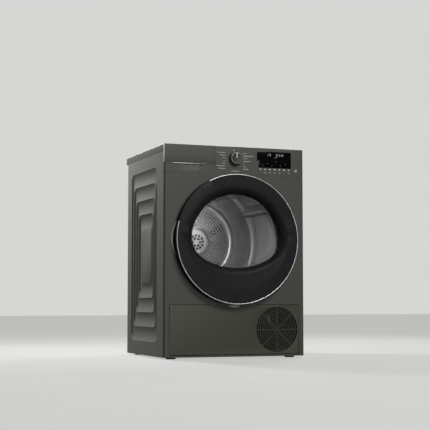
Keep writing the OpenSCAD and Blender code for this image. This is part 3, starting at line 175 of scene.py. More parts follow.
# Each takes a name, its two tones and its roughness; then the surface's grain and height
finish = {
    "graphiteEnamel": powderEnamel("graphitePowderEnamel", ("#484943", "#4e4f49")),
    "sideEnamel": powderEnamel("greyPowderEnamel", ("#72726f", "#7a7a76"), 0.4),
    "graphitePlastic": powderEnamel("paintedAbsGraphite", ("#494a43", "#4e4f49")),
    "flapPlastic": powderEnamel("paintedAbsBrownGraphite", ("#44443a", "#49493f")),
    # Near-white painted highlight on the drawer front's left corner
    "paleCorner": powderEnamel("paleDrawerCorner", ("#d8d9d4", "#e0e1dc"), 0.35),
    "charcoalPlastic": mouldedPlastic(
        "mouldedAbsCharcoal", ("#1c1c1e", "#202022"), Specular_IOR_Level=0.12),
    # Near-black painted shade for the knob's side wall
    "knobSide": mouldedPlastic(
        "ribbedAbsBlack", ("#161617", "#1b1b1c"), 0.4, Specular_IOR_Level=0.3),
    "knobFace": mouldedPlastic(
        "satinAbsKnobFace", ("#3a3b37", "#3f403b"), 0.5, Specular_IOR_Level=0.25),
    # Light grey painted highlight for the grip's lip
    "gripEdge": mouldedPlastic("polishedGripEdge", ("#8e8f8b", "#969792"), 0.35),
    "displayBlack": mouldedPlastic(
        "polishedBlackAcrylic", ("#060607", "#080809"), 0.08, 30, 0.002, Specular_IOR_Level=0.2),
    "deepBlack": mouldedPlastic(
        "mouldedFanBlack", ("#0c0c0d", "#101011"), 0.7, 2, 0.05, Specular_IOR_Level=0.1),
    "basePlastic": mouldedPlastic(
        "filledPolypropyleneGrey", ("#2b2c2d", "#303132"), 0.55, Specular_IOR_Level=0.25),
    "lightPlastic": mouldedPlastic("polypropyleneLightGrey", ("#c2c4c2", "#cccecb"), 0.5),
    "tankPlastic": mouldedPlastic(
        "translucentPolypropylene", ("#b4c1c6", "#c1ccd0"), 0.35, Alpha=0.75),
    # Near-black cast spider: a dark casting whose darkness is also painted shade behind the drum's
    # holes
    "darkCasting": mouldedPlastic("paintedCastSpider", ("#1c1d1e", "#232425"), 0.6, 2, 0.05),
    "blackEnamel": mouldedPlastic("blackStoveEnamel", ("#1d1e20", "#242527"), 0.3, 6, 0.02),
    "blackRubber": mouldedPlastic("mouldedRubberBlack", ("#191919", "#202020"), 0.7, 1.5, 0.05),
    "greyFelt": mouldedPlastic(
        "pressedWoolFelt", ("#5f5e5a", "#75746e"), 0.95, 1.6, 0.3, Sheen_Weight=0.3),
    "circuitBoard": mouldedPlastic("solderMaskGreen", ("#23583c", "#2a6445"), 0.3, 4, 0.02),
    "whiteInk": mouldedPlastic("screenPrintLightInk", ("#dcddd8", "#e4e5e0"), 0.5, 2, 0.005),
    "dimInk": mouldedPlastic("screenPrintGreyInk", ("#9b9c96", "#a3a49e"), 0.5, 2, 0.005),
    "displayGlow": mouldedPlastic("backlitSymbols", ("#c9d0d6", "#d3dae0"), 0.4, 2, 0.002),
    "smokedGlass": sheetGlass("tintedSafetyGlass", "#101214", 0.28),
    "clearGlass": sheetGlass("pressedClearGlass", "#9aa2a6", 0.06),
    # Denser, paler glass for the bowl's wall: painted reflection of light on glass seen edge-on
    "glassWall": sheetGlass("pressedGlassWall", "#a8b0b4", 0.22),
    "galvanised": zincSheet("galvanisedSteel", ("#8f9294", "#a4a7a9")),
    # Metals also take the stretch of their grain
    "brightTrim": rolledMetal(
        "satinChromePlate", ("#d6d8d8", "#e4e6e6"), 0.42, (1, 1, 1), 6, 0.002, 0.04),
    "rimMetal": rolledMetal(
        "turnedKnobRim", ("#b0b1b0", "#babbba"), 0.55, (1, 1, 1), 6, 0.002, 0.04),
    "stainless": rolledMetal(
        "brushedStainlessSteel", ("#bcbcba", "#c9c9c7"), 0.46, (1, 14, 1), 3.0, 0.001, 0.04),
    # A darker copy of the brushed stainless: painted shade on the drum's lifters
    "dullSteel": rolledMetal(
        "foldedStainlessLifter", ("#8e8e8c", "#9a9a98"), 0.5, (1, 14, 1), 3.0, 0.001, 0.04),
    "aluminiumFins": rolledMetal("millAluminium", ("#b4b7ba", "#c5c8ca"), 0.35, (1, 1, 6)),
    "copperPipe": rolledMetal("drawnCopper", ("#a5623c", "#b87248"), 0.3, (1, 6, 1)),
    "motorSteel": rolledMetal("castMotorSteel", ("#6d7073", "#7c7f82"), 0.5, (1, 1, 1), 1.5, 0.04),
    "bearingSteel": rolledMetal("groundSteel", ("#a3a6a9", "#b5b8ba"), 0.22, (12, 1, 1)),
}


# A record's slot such as side_enamel has the finish sideEnamel
def slotFinish(slot):
    first, *others = slot.split("_")
    return first + "".join(word.title() for word in others)


# The lifters take the darker copy of the drum's stainless as painted shade
# The spider's near-black is partly its own colour and partly painted shade behind the perforated
# back
nodeFinish = {"drum_lifters": "dullSteel", "drum_shaft": "darkCasting",
              "cooling_fan_frame": "deepBlack", "cooling_fan_rotor": "deepBlack"}
for part in frame["record"]["subparts"]:
    node = frame["nodes"][part["node"]]
    name = nodeFinish.get(part["node"], slotFinish(part["material_slot"]))
    node.data.materials.clear()
    node.data.materials.append(finish[name])


print("studio")

cameraView = {
    "place": (-1.692, -4.493, 0.224),
    "yaw": 20.71,  # degrees towards the right
    "pitch": 4.34,  # degrees upwards
    "lens": 95.85,
    "sensor": 36,
}

studio = {
    "backdrop": "#d6d6d4",  # tone of the backdrop as it is seen
    "evenLight": 0.09,  # strength of the light that comes from all round
    "floorHalf": 14,
    "floorTones": ("#a8a8a6", "#aeaeac"),
    "floorCloud": 400,  # millimetres
    "floorRoughness": 0.9,
    "floorEven": 0.75,  # share of the seen floor that takes the backdrop's tone
    "floorBounce": "#4c4c4b",  # tone of the light that the floor gives back
}

lamps = {
    # name: place, size, power, aims at, spread in degrees
    "leftSoftbox": ((-0.6, 0.95, 1.7), 0.3, 76, (-0.3, 0, 0.45), 180),
    "frontSoftbox": ((0.7, -4.3, 3.4), 1.8, 136, (0, -0.2, 0.4), 180),
    "lowFill": ((0.2, -4.4, 0.6), 1.0, 33, (0, -0.2, 0.4), 180),
    "rightSoftbox": ((1.7, 1.5, 1.9), 0.8, 60, (0.2, 0.1, 0.45), 180),
    "drumLamp": ((-0.07, -0.155, 0.58), 0.2, 0.64, (-0.1, 0.216, 0.49), 90),
    "drumFill": ((-0.09, -0.1, 0.6), 0.12, 0.48, (0.02, 0.21, 0.4), 180),
}


# Puts a finished bmesh in the scene as an object
def placeMesh(name, mesh):
    data = bpy.data.meshes.new(name)
    mesh.to_mesh(data)
    mesh.free()
    thing = bpy.data.objects.new(name, data)
    bpy.context.scene.collection.objects.link(thing)
    return thing


# Puts a camera or lamp in the scene and turns it the way it looks
def aim(name, data, place, ahead):
    thing = bpy.data.objects.new(name, data)
    thing.location = place
    thing.rotation_euler = ahead.to_track_quat("-Z", "Y").to_euler()
    bpy.context.scene.collection.objects.link(thing)
    return thing


def makeCamera():
    data = bpy.data.cameras.new("camera")
    data.lens = cameraView["lens"]
    data.sensor_width = cameraView["sensor"]
    data.clip_end = 60
    yaw, pitch = cameraView["yaw"], cameraView["pitch"]
    ahead = Vector((sine(yaw) * cosine(pitch), cosine(yaw) * cosine(pitch), sine(pitch)))
    bpy.context.scene.camera = aim("camera", data, cameraView["place"], ahead)


# The backdrop is an even pale tone to the camera and through glass; the light it gives is weaker
def makeWorld():
    bpy.context.scene.view_settings.view_transform = "Standard"
    world = bpy.data.worlds.new("studio")
    bpy.context.scene.world = world
    world.use_nodes = True
    tree = world.node_tree
    back = tree.nodes["Background"]
    back.inputs["Color"].default_value = (1, 1, 1, 1)
    back.inputs["Strength"].default_value = studio["evenLight"]
    seen = addNode(tree, "ShaderNodeBackground",
                   {"Color": linearColor(studio["backdrop"]), "Strength": 1.0})
    path = addNode(tree, "ShaderNodeLightPath")
    rays = dict(enumerate((path.outputs["Is Camera Ray"], path.outputs["Is Transmission Ray"])))
    both = addNode(tree, "ShaderNodeMath", links=rays, operation="MAXIMUM")
    mix = addNode(tree, "ShaderNodeMixShader",
                  links={0: both.outputs[0], 1: back.outputs[0], 2: seen.outputs[0]})
    tree.links.new(mix.outputs[0], tree.nodes["World Output"].inputs["Surface"])


# The floor is seen in the backdrop's tone with a soft shadow, and gives back little light
def makeFloor():
    mesh = bmesh.new()
    bmesh.ops.create_grid(mesh, x_segments=1, y_segments=1, size=studio["floorHalf"])
    floor = placeMesh("floor", mesh)
    material, tree, shader, place = startMaterial("matteStudioFloor", studio["floorTones"][0],
                                                  studio["floorRoughness"])
    speckle(tree, shader, place, studio["floorTones"], studio["floorCloud"])
    even = addNode(tree, "ShaderNodeEmission",
                   {"Color": linearColor(studio["backdrop"]), "Strength": 1.0})
    seen = addNode(tree, "ShaderNodeMixShader", {0: studio["floorEven"]},
                   {1: shader.outputs[0], 2: even.outputs[0]})
    dull = addNode(tree, "ShaderNodeBsdfDiffuse", {"Color": linearColor(studio["floorBounce"])})
    camera = addNode(tree, "ShaderNodeLightPath").outputs["Is Camera Ray"]
    mix = addNode(tree, "ShaderNodeMixShader",
                  links={0: camera, 1: dull.outputs[0], 2: seen.outputs[0]})
    tree.links.new(mix.outputs[0], tree.nodes["Material Output"].inputs["Surface"])
    floor.data.materials.append(material)


def makeLamps():
    for name, (place, size, power, target, spread) in lamps.items():
        data = bpy.data.lights.new(name, "AREA")
        data.shape = "SQUARE"
        data.size = size
        data.energy = power
        data.spread = math.radians(spread)
        aim(name, data, place, Vector(target) - Vector(place))


makeCamera()
makeWorld()
makeFloor()
makeLamps()


# Finishes a mesh: joins its doubles, points its faces outwards and lets it ride on a body
def finishPiece(name, mesh, material, body, nodes=(), sharp=32):
    bmesh.ops.remove_doubles(mesh, verts=mesh.verts, dist=weld)
    bmesh.ops.recalc_face_normals(mesh, faces=mesh.faces)
    piece = placeMesh(name, mesh)
    piece.data.materials.append(finish[material])
    piece.data.shade_smooth()
    piece.data.set_sharp_from_angle(angle=math.radians(sharp))
    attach(piece, body)
    if nodes:
        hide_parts(*nodes)
    return piece


# Gives the faces that a test picks a second material
def secondMaterial(piece, material, test):
    piece.data.materials.append(finish[material])
    for face in piece.data.polygons:
        if test(face.center):
            face.material_index = 1


# A bevel whose size is given in millimetres
def soften(mesh, geom, offset, segments, affect="EDGES"):
    bmesh.ops.bevel(mesh, geom=geom, offset=offset * mm, segments=segments, profile=0.5,
                    affect=affect, material=-1)


# Turns a skin into a wall whose thickness is given in millimetres
def thicken(mesh, thickness):
    bmesh.ops.recalc_face_normals(mesh, faces=mesh.faces)
    bmesh.ops.solidify(mesh, geom=mesh.faces[:], thickness=thickness * mm)


# Extrudes edges, and returns the new vertices and the new edges
def extruded(mesh, edges):
    geom = bmesh.ops.extrude_edge_only(mesh, edges=edges)["geom"]
    return ([item for item in geom if isinstance(item, bmesh.types.BMVert)],
            [item for item in geom if isinstance(item, bmesh.types.BMEdge)])


def addBlock(mesh, middle, size, turned=Matrix()):
    bmesh.ops.create_cube(mesh, size=1.0, matrix=Matrix.Translation(middle) @ turned
                          @ Matrix.Diagonal((*size, 1)))


# Bar with soft edges, given by its corners in millimetres
def softBar(name, low, high, edge, material, body, nodes=(), slot=None):
    mesh = bmesh.new()
    addBlock(mesh, [(a + b) / 2 * mm for a, b in zip(low, high)],
             [(b - a) * mm for a, b in zip(low, high)])
    soften(mesh, mesh.edges[:], edge, 3)
    finishPiece(name, mesh, material, body, nodes)


# Rectangle in Y and Z with round corners, as a loop of edges
def roundLoop(mesh, x, low, high, radius):
    before = set(mesh.edges)
    corners = [mesh.verts.new((x, y, z)) for y, z in
               ((low[0], low[1]), (high[0], low[1]), (high[0], high[1]), (low[0], high[1]))]
    for i in range(4):
        mesh.edges.new((corners[i], corners[i - 1]))
    soften(mesh, corners, radius, 8, "VERTICES")
    return [edge for edge in mesh.edges if edge not in before]


# Skin through rings round the Y axis: each station gives a radius and a depth for an angle
def ringSkin(mesh, centre, count, stations):
    turn = mesh.verts.layers.float.new("turn")
    ring = bmesh.ops.create_circle(mesh, segments=count, radius=1.0)["verts"]
    for vert in ring:
        vert[turn] = math.degrees(math.atan2(vert.co.y, vert.co.x)) % 360
    edges = list(mesh.edges)

    def place(verts, station):
        for vert in verts:
            radius, depth = station(vert[turn])
            vert.co = (centre[0] + radius * cosine(vert[turn]), depth,
                       centre[2] + radius * sine(vert[turn]))

    place(ring, stations[0])
    for station in stations[1:]:
        verts, edges = extruded(mesh, edges)
        place(verts, station)


# Solid of revolution about a line along Y; the profile gives radius and depth in millimetres
def spinProfile(mesh, centre, profile, steps=96, start=0, sweep=360, closed=False):
    profile = profile + profile[:1] if closed else profile
    verts = [mesh.verts.new((centre[0] + r * mm * cosine(start), y * mm,
                             centre[2] + r * mm * sine(start))) for r, y in profile]
    edges = [mesh.edges.new(pair) for pair in zip(verts, verts[1:])]
    bmesh.ops.spin(mesh, geom=verts + edges, cent=centre, axis=(0, -1, 0),
                   angle=math.radians(sweep), steps=steps, use_merge=sweep == 360)
    bmesh.ops.remove_doubles(mesh, verts=mesh.verts, dist=weld)


# Points of a round corner in a profile, from one direction to another in degrees
def arcPoints(centre, radius, start, end, steps):
    turns = [start + (end - start) * i / steps for i in range(steps + 1)]
    return [(centre[0] + radius * cosine(t), centre[1] + radius * sine(t)) for t in turns]


print("side panels")

# One sheet pressed in scalloped terraces round a flat plate
sidePanel = {
    "terraces": 4,
    "margins": (77.5, 58, 57, 55.3),  # first ridge in from the front, rear, bottom and top edge
    "pitch": (26.5, 59),  # from ridge to ridge, across and up the panel
    "radius": (28, 2.4),  # of the first ridge's corners, and less at each next one
    "fall": 2.6,  # how much deeper each ridge lies than the one outside it
    "hollow": 3.6,  # depth of a terrace's hollow between its ridges
    "shares": (0, 0.02, 0.05, 0.1, 0.18, 0.28, 0.4, 0.52, 0.64, 0.76, 0.86, 0.93, 0.97, 0.99),
    "corner": 3,
    "sheet": 1.0,
    "flange": 13,
    "sharp": 12,
}


def makeSidePanel(name, side, node):
    s = sidePanel
    low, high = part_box(node)
    face = side * max(abs(low.x), abs(high.x))
    front, rear, bottom, top = s["margins"]
    mesh = bmesh.new()
    loops = [roundLoop(mesh, face, (low.y, low.z), (high.y, high.z), s["corner"])]

    def ridge(at, depth):
        y, z = at * s["pitch"][0], at * s["pitch"][1]
        loops.append(roundLoop(mesh, face - side * depth * mm,
                               (low.y + (front + y) * mm, low.z + (bottom + z) * mm),
                               (high.y - (rear + y) * mm, high.z - (top + z) * mm),
                               s["radius"][0] - s["radius"][1] * at))

    for k in range(s["terraces"]):
        for share in s["shares"]:
            ridge(k + share, s["fall"] * (k + share) + s["hollow"] * (1 - (2 * share - 1) ** 2))
    ridge(s["terraces"], s["fall"] * s["terraces"])
    for one, two in zip(loops, loops[1:]):
        bmesh.ops.bridge_loops(mesh, edges=one + two)
    bmesh.ops.contextual_create(mesh, geom=loops[-1])
    rim, _ = extruded(mesh, loops[0])
    bmesh.ops.translate(mesh, verts=rim, vec=(-side * s["flange"] * mm, 0, 0))
    thicken(mesh, s["sheet"])
    finishPiece(name, mesh, "sideEnamel", "cabinet", [node], s["sharp"])


makeSidePanel("leftPressedPanel", -1, "left_side_panel")
makeSidePanel("rightPressedPanel", 1, "right_side_panel")


print("door")

door = {
    "centre": Vector((0, 0, 0.473)),
    "front": -284,
    "radius": 259.5,
    "ring": 4,  # width of the bright ring's section
    "ringRear": 4.4,  # depth of the ring's rear
    "ringRoom": 0.3,  # room between the ring and its seat
    "gap": (118.5, 165.3),  # directions between which the ring is missing
    "band": 214,  # inner edge of the flat band
    "window": (188, 178, 114, 300),  # half width, top, bottom, radius of the lower arc
    "meet": 12,  # how tightly the window's two curves meet
    "funnel": (30, 26),  # depth and width
    "fall": (1, 0.06),  # depth of its mouth, and more where the band is wide
    "hinge": 5,  # degrees each way where the rear gives the hinge room
    "count": 192,
    # In from the edge, depth, and depth at the hinge
    "rear": ((3.1, 32, 7.6), (1.2, 31.4, 6.2), (0.5, 29.5, 5.7)),
    # In from the edge in the gap, in from the ring's seat elsewhere, and depth
    "rim": ((0.5, -3.8, 5.4), (0.5, -3.7, 4.8), (0.5, 0, 4.7), (0.5, 0, 1.4), (1.2, 0.3, 0.5),
            (2.4, 1.2, 0)),
    "inside": ((2.4, 30.7), (12, 24), (29, 6)),  # out from the window's edge, and depth
    "behind": ((7.3, 4.2), (3.2, 7.2)),  # in from the edge, and depth
    "last": (3.2, 29.5, 7.4),  # as for the rear
}

doorGlass = {
    "front": 31.1,  # depth of the pane behind the door's front
    "over": 5.6,  # how far it reaches behind the frame
    "spans": (0.5, 0.9),
    "edge": ((5.4, 31.2), (5.7, 31.8), (5.4, 33.6)),  # out from the window's edge, and depth
}

doorBowl = {
    "start": -247, "deep": 31, "thick": 3,
    "flange": ((196.5, -3), (196.5, 0), (190.5, 0.4)),  # radius and depth from the start
    "reach": (4, 186),  # out from the window's edge, and the largest radius
    "steep": ((0, 0.1), (3, 0.35)),  # in from there, and share of the depth
    "bend": (6, 22, 0.53),  # in from there, width, and share of the depth
    "dome": (80, 0.97),
    "wallWidth": 14,  # part of the bowl that is seen as its wall, glazed denser and paler as painted reflection
}


# Distance of the window's edge from the door's centre in a direction
def windowEdge(turn):
    wide, top, bottom, lowRadius = door["window"]
    c = lowRadius - bottom
    high = 1 / math.hypot(cosine(turn) / wide, sine(turn) / top)
    low = c * sine(turn) + math.sqrt(lowRadius ** 2 - (c * cosine(turn)) ** 2)
    return (high ** -door["meet"] + low ** -door["meet"]) ** (-1 / door["meet"])


def mouthDepth(turn):
    least, more = door["fall"]
    return least + more * max(0, door["band"] - windowEdge(turn) - door["funnel"][1])


# Stations of the moulded frame: a share of the way over the band, then down the funnel
def overBand(share):
    def station(turn):
        mouth = windowEdge(turn) + door["funnel"][1]
        radius = door["band"] + (mouth - door["band"]) * share
        return radius * mm, (door["front"] + mouthDepth(turn) * smoothShare(share)) * mm
    return station


def downFunnel(share):
    depth, width = door["funnel"]

    def station(turn):
        fall = mouthDepth(turn)
        radius = windowEdge(turn) + width * (1 - share) ** 1.6
        return radius * mm, (door["front"] + fall + (depth - 1 - fall) * share ** 1.35) * mm
    return station


def flatStation(radius, y):
    return lambda turn: (radius * mm, y * mm)


def edgeStation(out, depth, share=1):
    return lambda turn: ((windowEdge(turn) + out) * share * mm, (door["front"] + depth) * mm)


# The frame's rim stands in the gap of the bright ring and steps back under the ring
def rimStation(inset, seatInset, depth):
    seat = door["radius"] - door["ring"] - door["ringRoom"]

    def station(turn):
        inGap = door["gap"][0] + 1 < turn < door["gap"][1] - 1
        radius = door["radius"] - inset if inGap else seat - seatInset
        return radius * mm, (door["front"] + depth) * mm
    return station


# The rim's rear is cut away on the right, where the fixed hinge arm passes
def rearStation(inset, depth, atHinge):
    def station(turn):
        near = turn < door["hinge"] or turn > 360 - door["hinge"]
        return (door["radius"] - inset) * mm, (door["front"] + (atHinge if near else depth)) * mm
    return station


def makeDoorFrame(bandSteps=8, funnelSteps=12):
    stations = [rearStation(*row) for row in door["rear"]]
    stations += [rimStation(*row) for row in door["rim"]]
    stations += [overBand(i / bandSteps) for i in range(bandSteps + 1)]
    stations += [downFunnel(i / funnelSteps) for i in range(1, funnelSteps + 1)]
    stations += [edgeStation(*row) for row in door["inside"]]
    stations += [flatStation(door["radius"] - inset, door["front"] + depth)
                 for inset, depth in door["behind"]]
    stations += [rearStation(*door["last"]), stations[0]]
    mesh = bmesh.new()
    ringSkin(mesh, door["centre"], door["count"], stations)
    finishPiece("mouldedDoorFrame", mesh, "charcoalPlastic", "door", ["door_frame"],
                sharp=28)


def makeTrimRing(steps=150):
    out, wide, front = door["radius"], door["ring"], door["front"]
    low, high = door["gap"]
    section = [(out - wide, front + door["ringRear"]), (out - wide, front + wide / 2 + 0.1)]
    section += arcPoints((out - wide / 2, front + wide / 2), wide / 2, 180, 360, 10)
    section += [(out, front + door["ringRear"])]
    mesh = bmesh.new()
    spinProfile(mesh, door["centre"], section, steps, high, 360 - high + low, closed=True)
    bmesh.ops.holes_fill(mesh, edges=mesh.edges, sides=0)
    finishPiece("chromeDoorRing", mesh, "brightTrim", "door", ["door_trim_ring"],
                sharp=40)


def makeDoorGlass():
    g = doorGlass
    stations = [flatStation(nearAxis, door["front"] + g["front"])]
    stations += [edgeStation(g["over"], g["front"], share) for share in g["spans"]]
    stations += [edgeStation(*row) for row in g["edge"]]
    stations += [flatStation(nearAxis, door["front"] + g["edge"][-1][1])]
    mesh = bmesh.new()
    ringSkin(mesh, door["centre"], door["count"], stations)
    bmesh.ops.holes_fill(mesh, edges=mesh.edges, sides=0)
    finishPiece("smokedDoorGlass", mesh, "smokedGlass", "door", ["door_glass"],
                sharp=30)


# Pressed bowl: a flange, a steep wall that follows the window, and a gently domed back
def makeDoorBowl():
    b = doorBowl
    start, deep, thick = b["start"], b["deep"], b["thick"]
    out, largest = b["reach"]
    inset, width, rise = b["bend"]

    def wall(inset, share, cut):
        def station(turn):
            edge = min(windowEdge(turn) + out, largest) - cut
            return (edge - inset) * mm, (start + deep * share - cut) * mm
        return station

    rows = [*b["steep"]]
    rows += [(inset + width * (1 - cosine(t)), b["steep"][-1][1] + rise * sine(t))
             for t in range(15, 91, 15)]
    rows += [b["dome"]]
    flange = [flatStation(radius, start + depth) for radius, depth in b["flange"]]
    stations = flange + [wall(*row, 0) for row in rows]
    stations += [flatStation(nearAxis, start + deep), flatStation(nearAxis, start + deep - thick)]
    stations += [wall(*row, thick) for row in reversed(rows)]
    stations += [flatStation(largest, start + b["flange"][0][1]), flange[0]]
    mesh = bmesh.new()
    ringSkin(mesh, door["centre"], door["count"], stations)
    piece = finishPiece("pressedGlassBowl", mesh, "clearGlass", "door", ["door_bowl"],
                        sharp=30)

    def onWall(middle):
        place = middle - door["centre"]
        edge = windowEdge(math.degrees(math.atan2(place.z, place.x)) % 360)
        outside = math.hypot(place.x, place.z) > (edge - b["wallWidth"]) * mm
        return outside and middle.y > (start + 1) * mm
    # The wall takes the denser, paler glass as painted reflection
    secondMaterial(piece, "glassWall", onWall)


makeDoorFrame()
makeTrimRing()
makeDoorGlass()
makeDoorBowl()


print("drum")

drum = {
    "axis": Vector((0, 0, 0.484)),
    "front": -168, "back": 216, "radius": 276.3,
    "mouth": (262.4, 14),  # radius and length of the collar at the front
    "beads": (-121, 49),  # where the wall's two beads lie
    "bead": (12, 8, 0.6, 3.6, 14),  # half widths, step, height, crest's degrees for 1 mm
    "corner": 26,
    "bend": (250.3, 24.8, 275.1),  # radius where the back bends, the bend's, and of its collar
    "hub": (58, 5),  # radius and height
    "hubStep": ((-10, 5), (-5, 4.5), (0, 3), (5, 1)),  # out from the hub's radius, and height
    "ring": (165, 12, 5),  # radius, half width and height of the pressed ring
    "holes": (12.5, 3.9, 2.2),  # pitch, half width and corner of the air holes
    "rows": ((17, 42), (75, 150)),  # first, and one past the last, on the hub and round it
    "rowTurn": 1.7,  # degrees for each millimetre out, so no rows line up
    "sheet": 1.0,
    "count": 144,
}


def makeDrumShell():
    r, front = drum["radius"], drum["front"]
    mouth, length = drum["mouth"]
    foot, flank, step, high, crest = drum["bead"]
    wall = [(mouth, front - length), (mouth, front + 0.6), (r - 3, front + 0.9), (r, front + 4)]
    for y in drum["beads"]:
        wall += [(r, y - foot), (r - step, y - flank)]
        wall += [(r - step - high * cosine(t) ** 2, y + t / crest) for t in range(-90, 91, 18)]
        wall += [(r - step, y + flank), (r, y + foot)]
    wall += [(r, drum["back"] - drum["corner"] - 5)]
    mesh = bmesh.new()
    spinProfile(mesh, drum["axis"], wall, drum["count"])
    thicken(mesh, drum["sheet"])
    finishPiece("stainlessDrumWall", mesh, "stainless", "drum", ["drum_shell"],
                sharp=40)


# A field of holes in a flat ring: a grid of polar cells, each inset and emptied
def addHoles(mesh, first, last, y):
    pitch, hole, corner = drum["holes"]
    field = bmesh.new()
    row = first
    while row < last:
        count = 6 * round(math.tau * row / pitch / 6)
        edge = [(row + step, y) for step in (-pitch / 2, pitch / 2)]
        spinProfile(field, drum["axis"], edge, count, row * drum["rowTurn"])
        row += pitch
    cells = field.faces[:]
    bmesh.ops.inset_individual(field, faces=cells, thickness=(pitch / 2 - hole) * mm)
    bmesh.ops.delete(field, geom=cells, context="FACES")
    corners = [vert for vert in field.verts if len(vert.link_faces) == 2]
    soften(field, corners, corner, 1, "VERTICES")
    data = bpy.data.meshes.new("field")
    field.to_mesh(data)
    field.free()
    mesh.from_mesh(data)
    bpy.data.meshes.remove(data)


def makeDrumBack():
    back = drum["back"]
    hub, hubHigh = drum["hub"]
    ring, half, high = drum["ring"]
    bendStart, bend, collar = drum["bend"]
    halfPitch = drum["holes"][0] / 2
    (hubFirst, hubLast), (first, last) = drum["rows"]
    middle = [(nearAxis, back - hubHigh), (hubFirst - halfPitch, back - hubHigh)]
    step = [(hubLast - halfPitch, back - hubHigh)]
    step += [(hub + out, back - rise) for out, rise in drum["hubStep"]]
    step += [(first - halfPitch, back)]
    outer = [(last - halfPitch, back)]
    outer += [(ring - half * cosine(t), back - high * sine(t) ** 1.5) for t in range(0, 181, 15)]
    outer += [(ring + half + 8, back - 0.4), (ring + half + 40, back - 0.6),
              (bendStart - 18, back - 0.2)]
    outer += [(bendStart + bend * sine(t), back - bend * (1 - cosine(t)))
              for t in range(0, 91, 10)]
    outer += [(collar, back - drum["corner"] - 4)]
    mesh = bmesh.new()
    for profile in (middle, step, outer):
        spinProfile(mesh, drum["axis"], profile, drum["count"])
    addHoles(mesh, hubFirst, hubLast, back - hubHigh)
    addHoles(mesh, first, last, back)
    thicken(mesh, drum["sheet"])
    finishPiece("perforatedDrumBack", mesh, "stainless", "drum", ["drum_back"],
                sharp=40)


makeDrumShell()
makeDrumBack()


print("controls")

knob = {
    "centre": Vector((0, 0, 0.7975)),
    "face": -248, "out": 19,
    "radius": 24.5,
    "ring": 29,  # radius of the skirt
    "skirt": ((1, 0.5), (0, 1), (0.2, 3), (1.4, 3.8)),  # in from its radius, out from the fascia
    "foot": ((-0.6, 4), (0.2, 4.4)),  # in from the knob's radius, and out
    "shoulder": (0.6, 4),  # in from the knob's radius, below the tip
    "round": 2,  # radius of the tip's edge
    "crown": ((3.6, 0.2), (4.4, 0.6)),  # as for the shoulder
    "dish": 0.9,
    "rim": ((2.9, 0.25), (2.4, -0.02), (1.5, 0.2), (1.0, 0.9), (2.9, 1.4)),  # also
    "side": (2.4, 3),  # painted shade: dark from below the tip to above the skirt
    "pointer": (3.2, 1.4, 19), "pointerUp": 11,
}


def makeKnob():
    k = knob
    face, radius, tip = k["face"], k["radius"], k["face"] - k["out"]
    corner = k["shoulder"][0] + k["round"]
    profile = [(nearAxis, face - k["skirt"][0][1])]
    profile += [(k["ring"] - inset, face - out) for inset, out in k["skirt"]]
    profile += [(radius - inset, face - out) for inset, out in k["foot"]]
    profile += [(radius - k["shoulder"][0], tip + k["shoulder"][1])]
    profile += arcPoints((radius - corner, tip + k["round"]), k["round"], 0, -90, 6)
    profile += [(radius - inset, tip + below) for inset, below in k["crown"]]
    profile += [(nearAxis, tip + k["dish"])]
    mesh = bmesh.new()
    spinProfile(mesh, k["centre"], profile)
    piece = finishPiece("turnedKnob", mesh, "knobFace", "program_knob", ["program_knob"],
                        sharp=30)
    top, foot = (tip + k["side"][0]) * mm, (face - k["side"][1]) * mm
    # The side wall takes the near-black finish as painted shade
    secondMaterial(piece, "knobSide", lambda middle: top < middle.y < foot)
    mesh = bmesh.new()
    rim = [(radius - inset, tip + below) for inset, below in k["rim"]]
    spinProfile(mesh, k["centre"], rim, closed=True)
    finishPiece("knobBrightRim", mesh, "rimMetal", "program_knob", (), sharp=30)
    mesh = bmesh.new()
    addBlock(mesh, (0, (tip + 0.8) * mm, k["centre"].z + k["pointerUp"] * mm),
             [size * mm for size in k["pointer"]])
    finishPiece("knobPointer", mesh, "whiteInk", "program_knob")


makeKnob()


print("fascia")

fascia = {
    "front": -248, "seam": -234, "half": 299, "corner": 6,
    "top": 846, "bottom": 734.5, "middle": 800,
    "bay": (-83.4, 767.5),  # right and lower edge of the drawer's bay
    "scoop": (-268, -117, 740, 31, 7),  # ends, foot, height and depth of the finger scoop
    "scoopEnds": (70, 22, 1.5),  # widths over which it grows and closes, and its slant
    "scoopColumns": (-290, 3, 57), "scoopRows": (736, 1.5, 21),  # first, pitch and count
    "columns": ((-112, -102, -92), (0, 92, 94, 245, 247)),  # left and right of the bay's edge
    "foot": ((0.3, 0), (0, 0.4)),  # inset, and height
    "topEdge": ((0, 2), (0.15, 1.1), (0.55, 0.4), (1.4, 0)),  # inset, and below the top
    "wall": 2.5,
}

drawer = {
    "right": -83.75, "low": 771.6, "corner": 2,
    "columns": (-250, -200, -150, -100),
    "foot": ((1.5, 0), (0.4, 0.3), (0, 1.2)),
    "topEdge": ((0, 2.2), (0.2, 1.3), (0.6, 0.7), (1.5, 0.3)),
    "wall": 2, "pale": 2.5,  # width of the painted highlight on the left corner
    "skirtRows": ((0.3, 767.9), (0, 768.2), (0, 771.9)), "skirtWall": 0.8,
    # Left and right end, and left corner's radius
    "skirts": {"drawerSkirtLeft": (-298.9, -265.2, 6), "drawerSkirtRight": (-122.8, -83.9, 1)},
    "lip": ((-265, -249.4, 770.0), (-123, -245, 771.5)),
}

jointStrip = ((-296, -247.4, 732.7), (296, -245.5, 734.8))


# Plan of a front that turns round its left and right end: each point's place and outward normal
def frontPlan(left, right, leftRadius, rightRadius, columns):
    front, seam = fascia["front"], fascia["seam"]
    plan = [(left, seam, -1, 0), (left, front + leftRadius + 1, -1, 0)]
    for x, radius, start in ((left + leftRadius, leftRadius, 180),
                             (right - rightRadius, rightRadius, 270)):
        plan += [(x + radius * cosine(t), front + radius + radius * sine(t), cosine(t), sine(t))
                 for t in range(start, start + 91, 10)]
        if start == 180:
            plan += [(x, front, 0, -1) for x in columns]
    return plan + [(right, front + rightRadius + 1, 1, 0), (right, seam, 1, 0)]


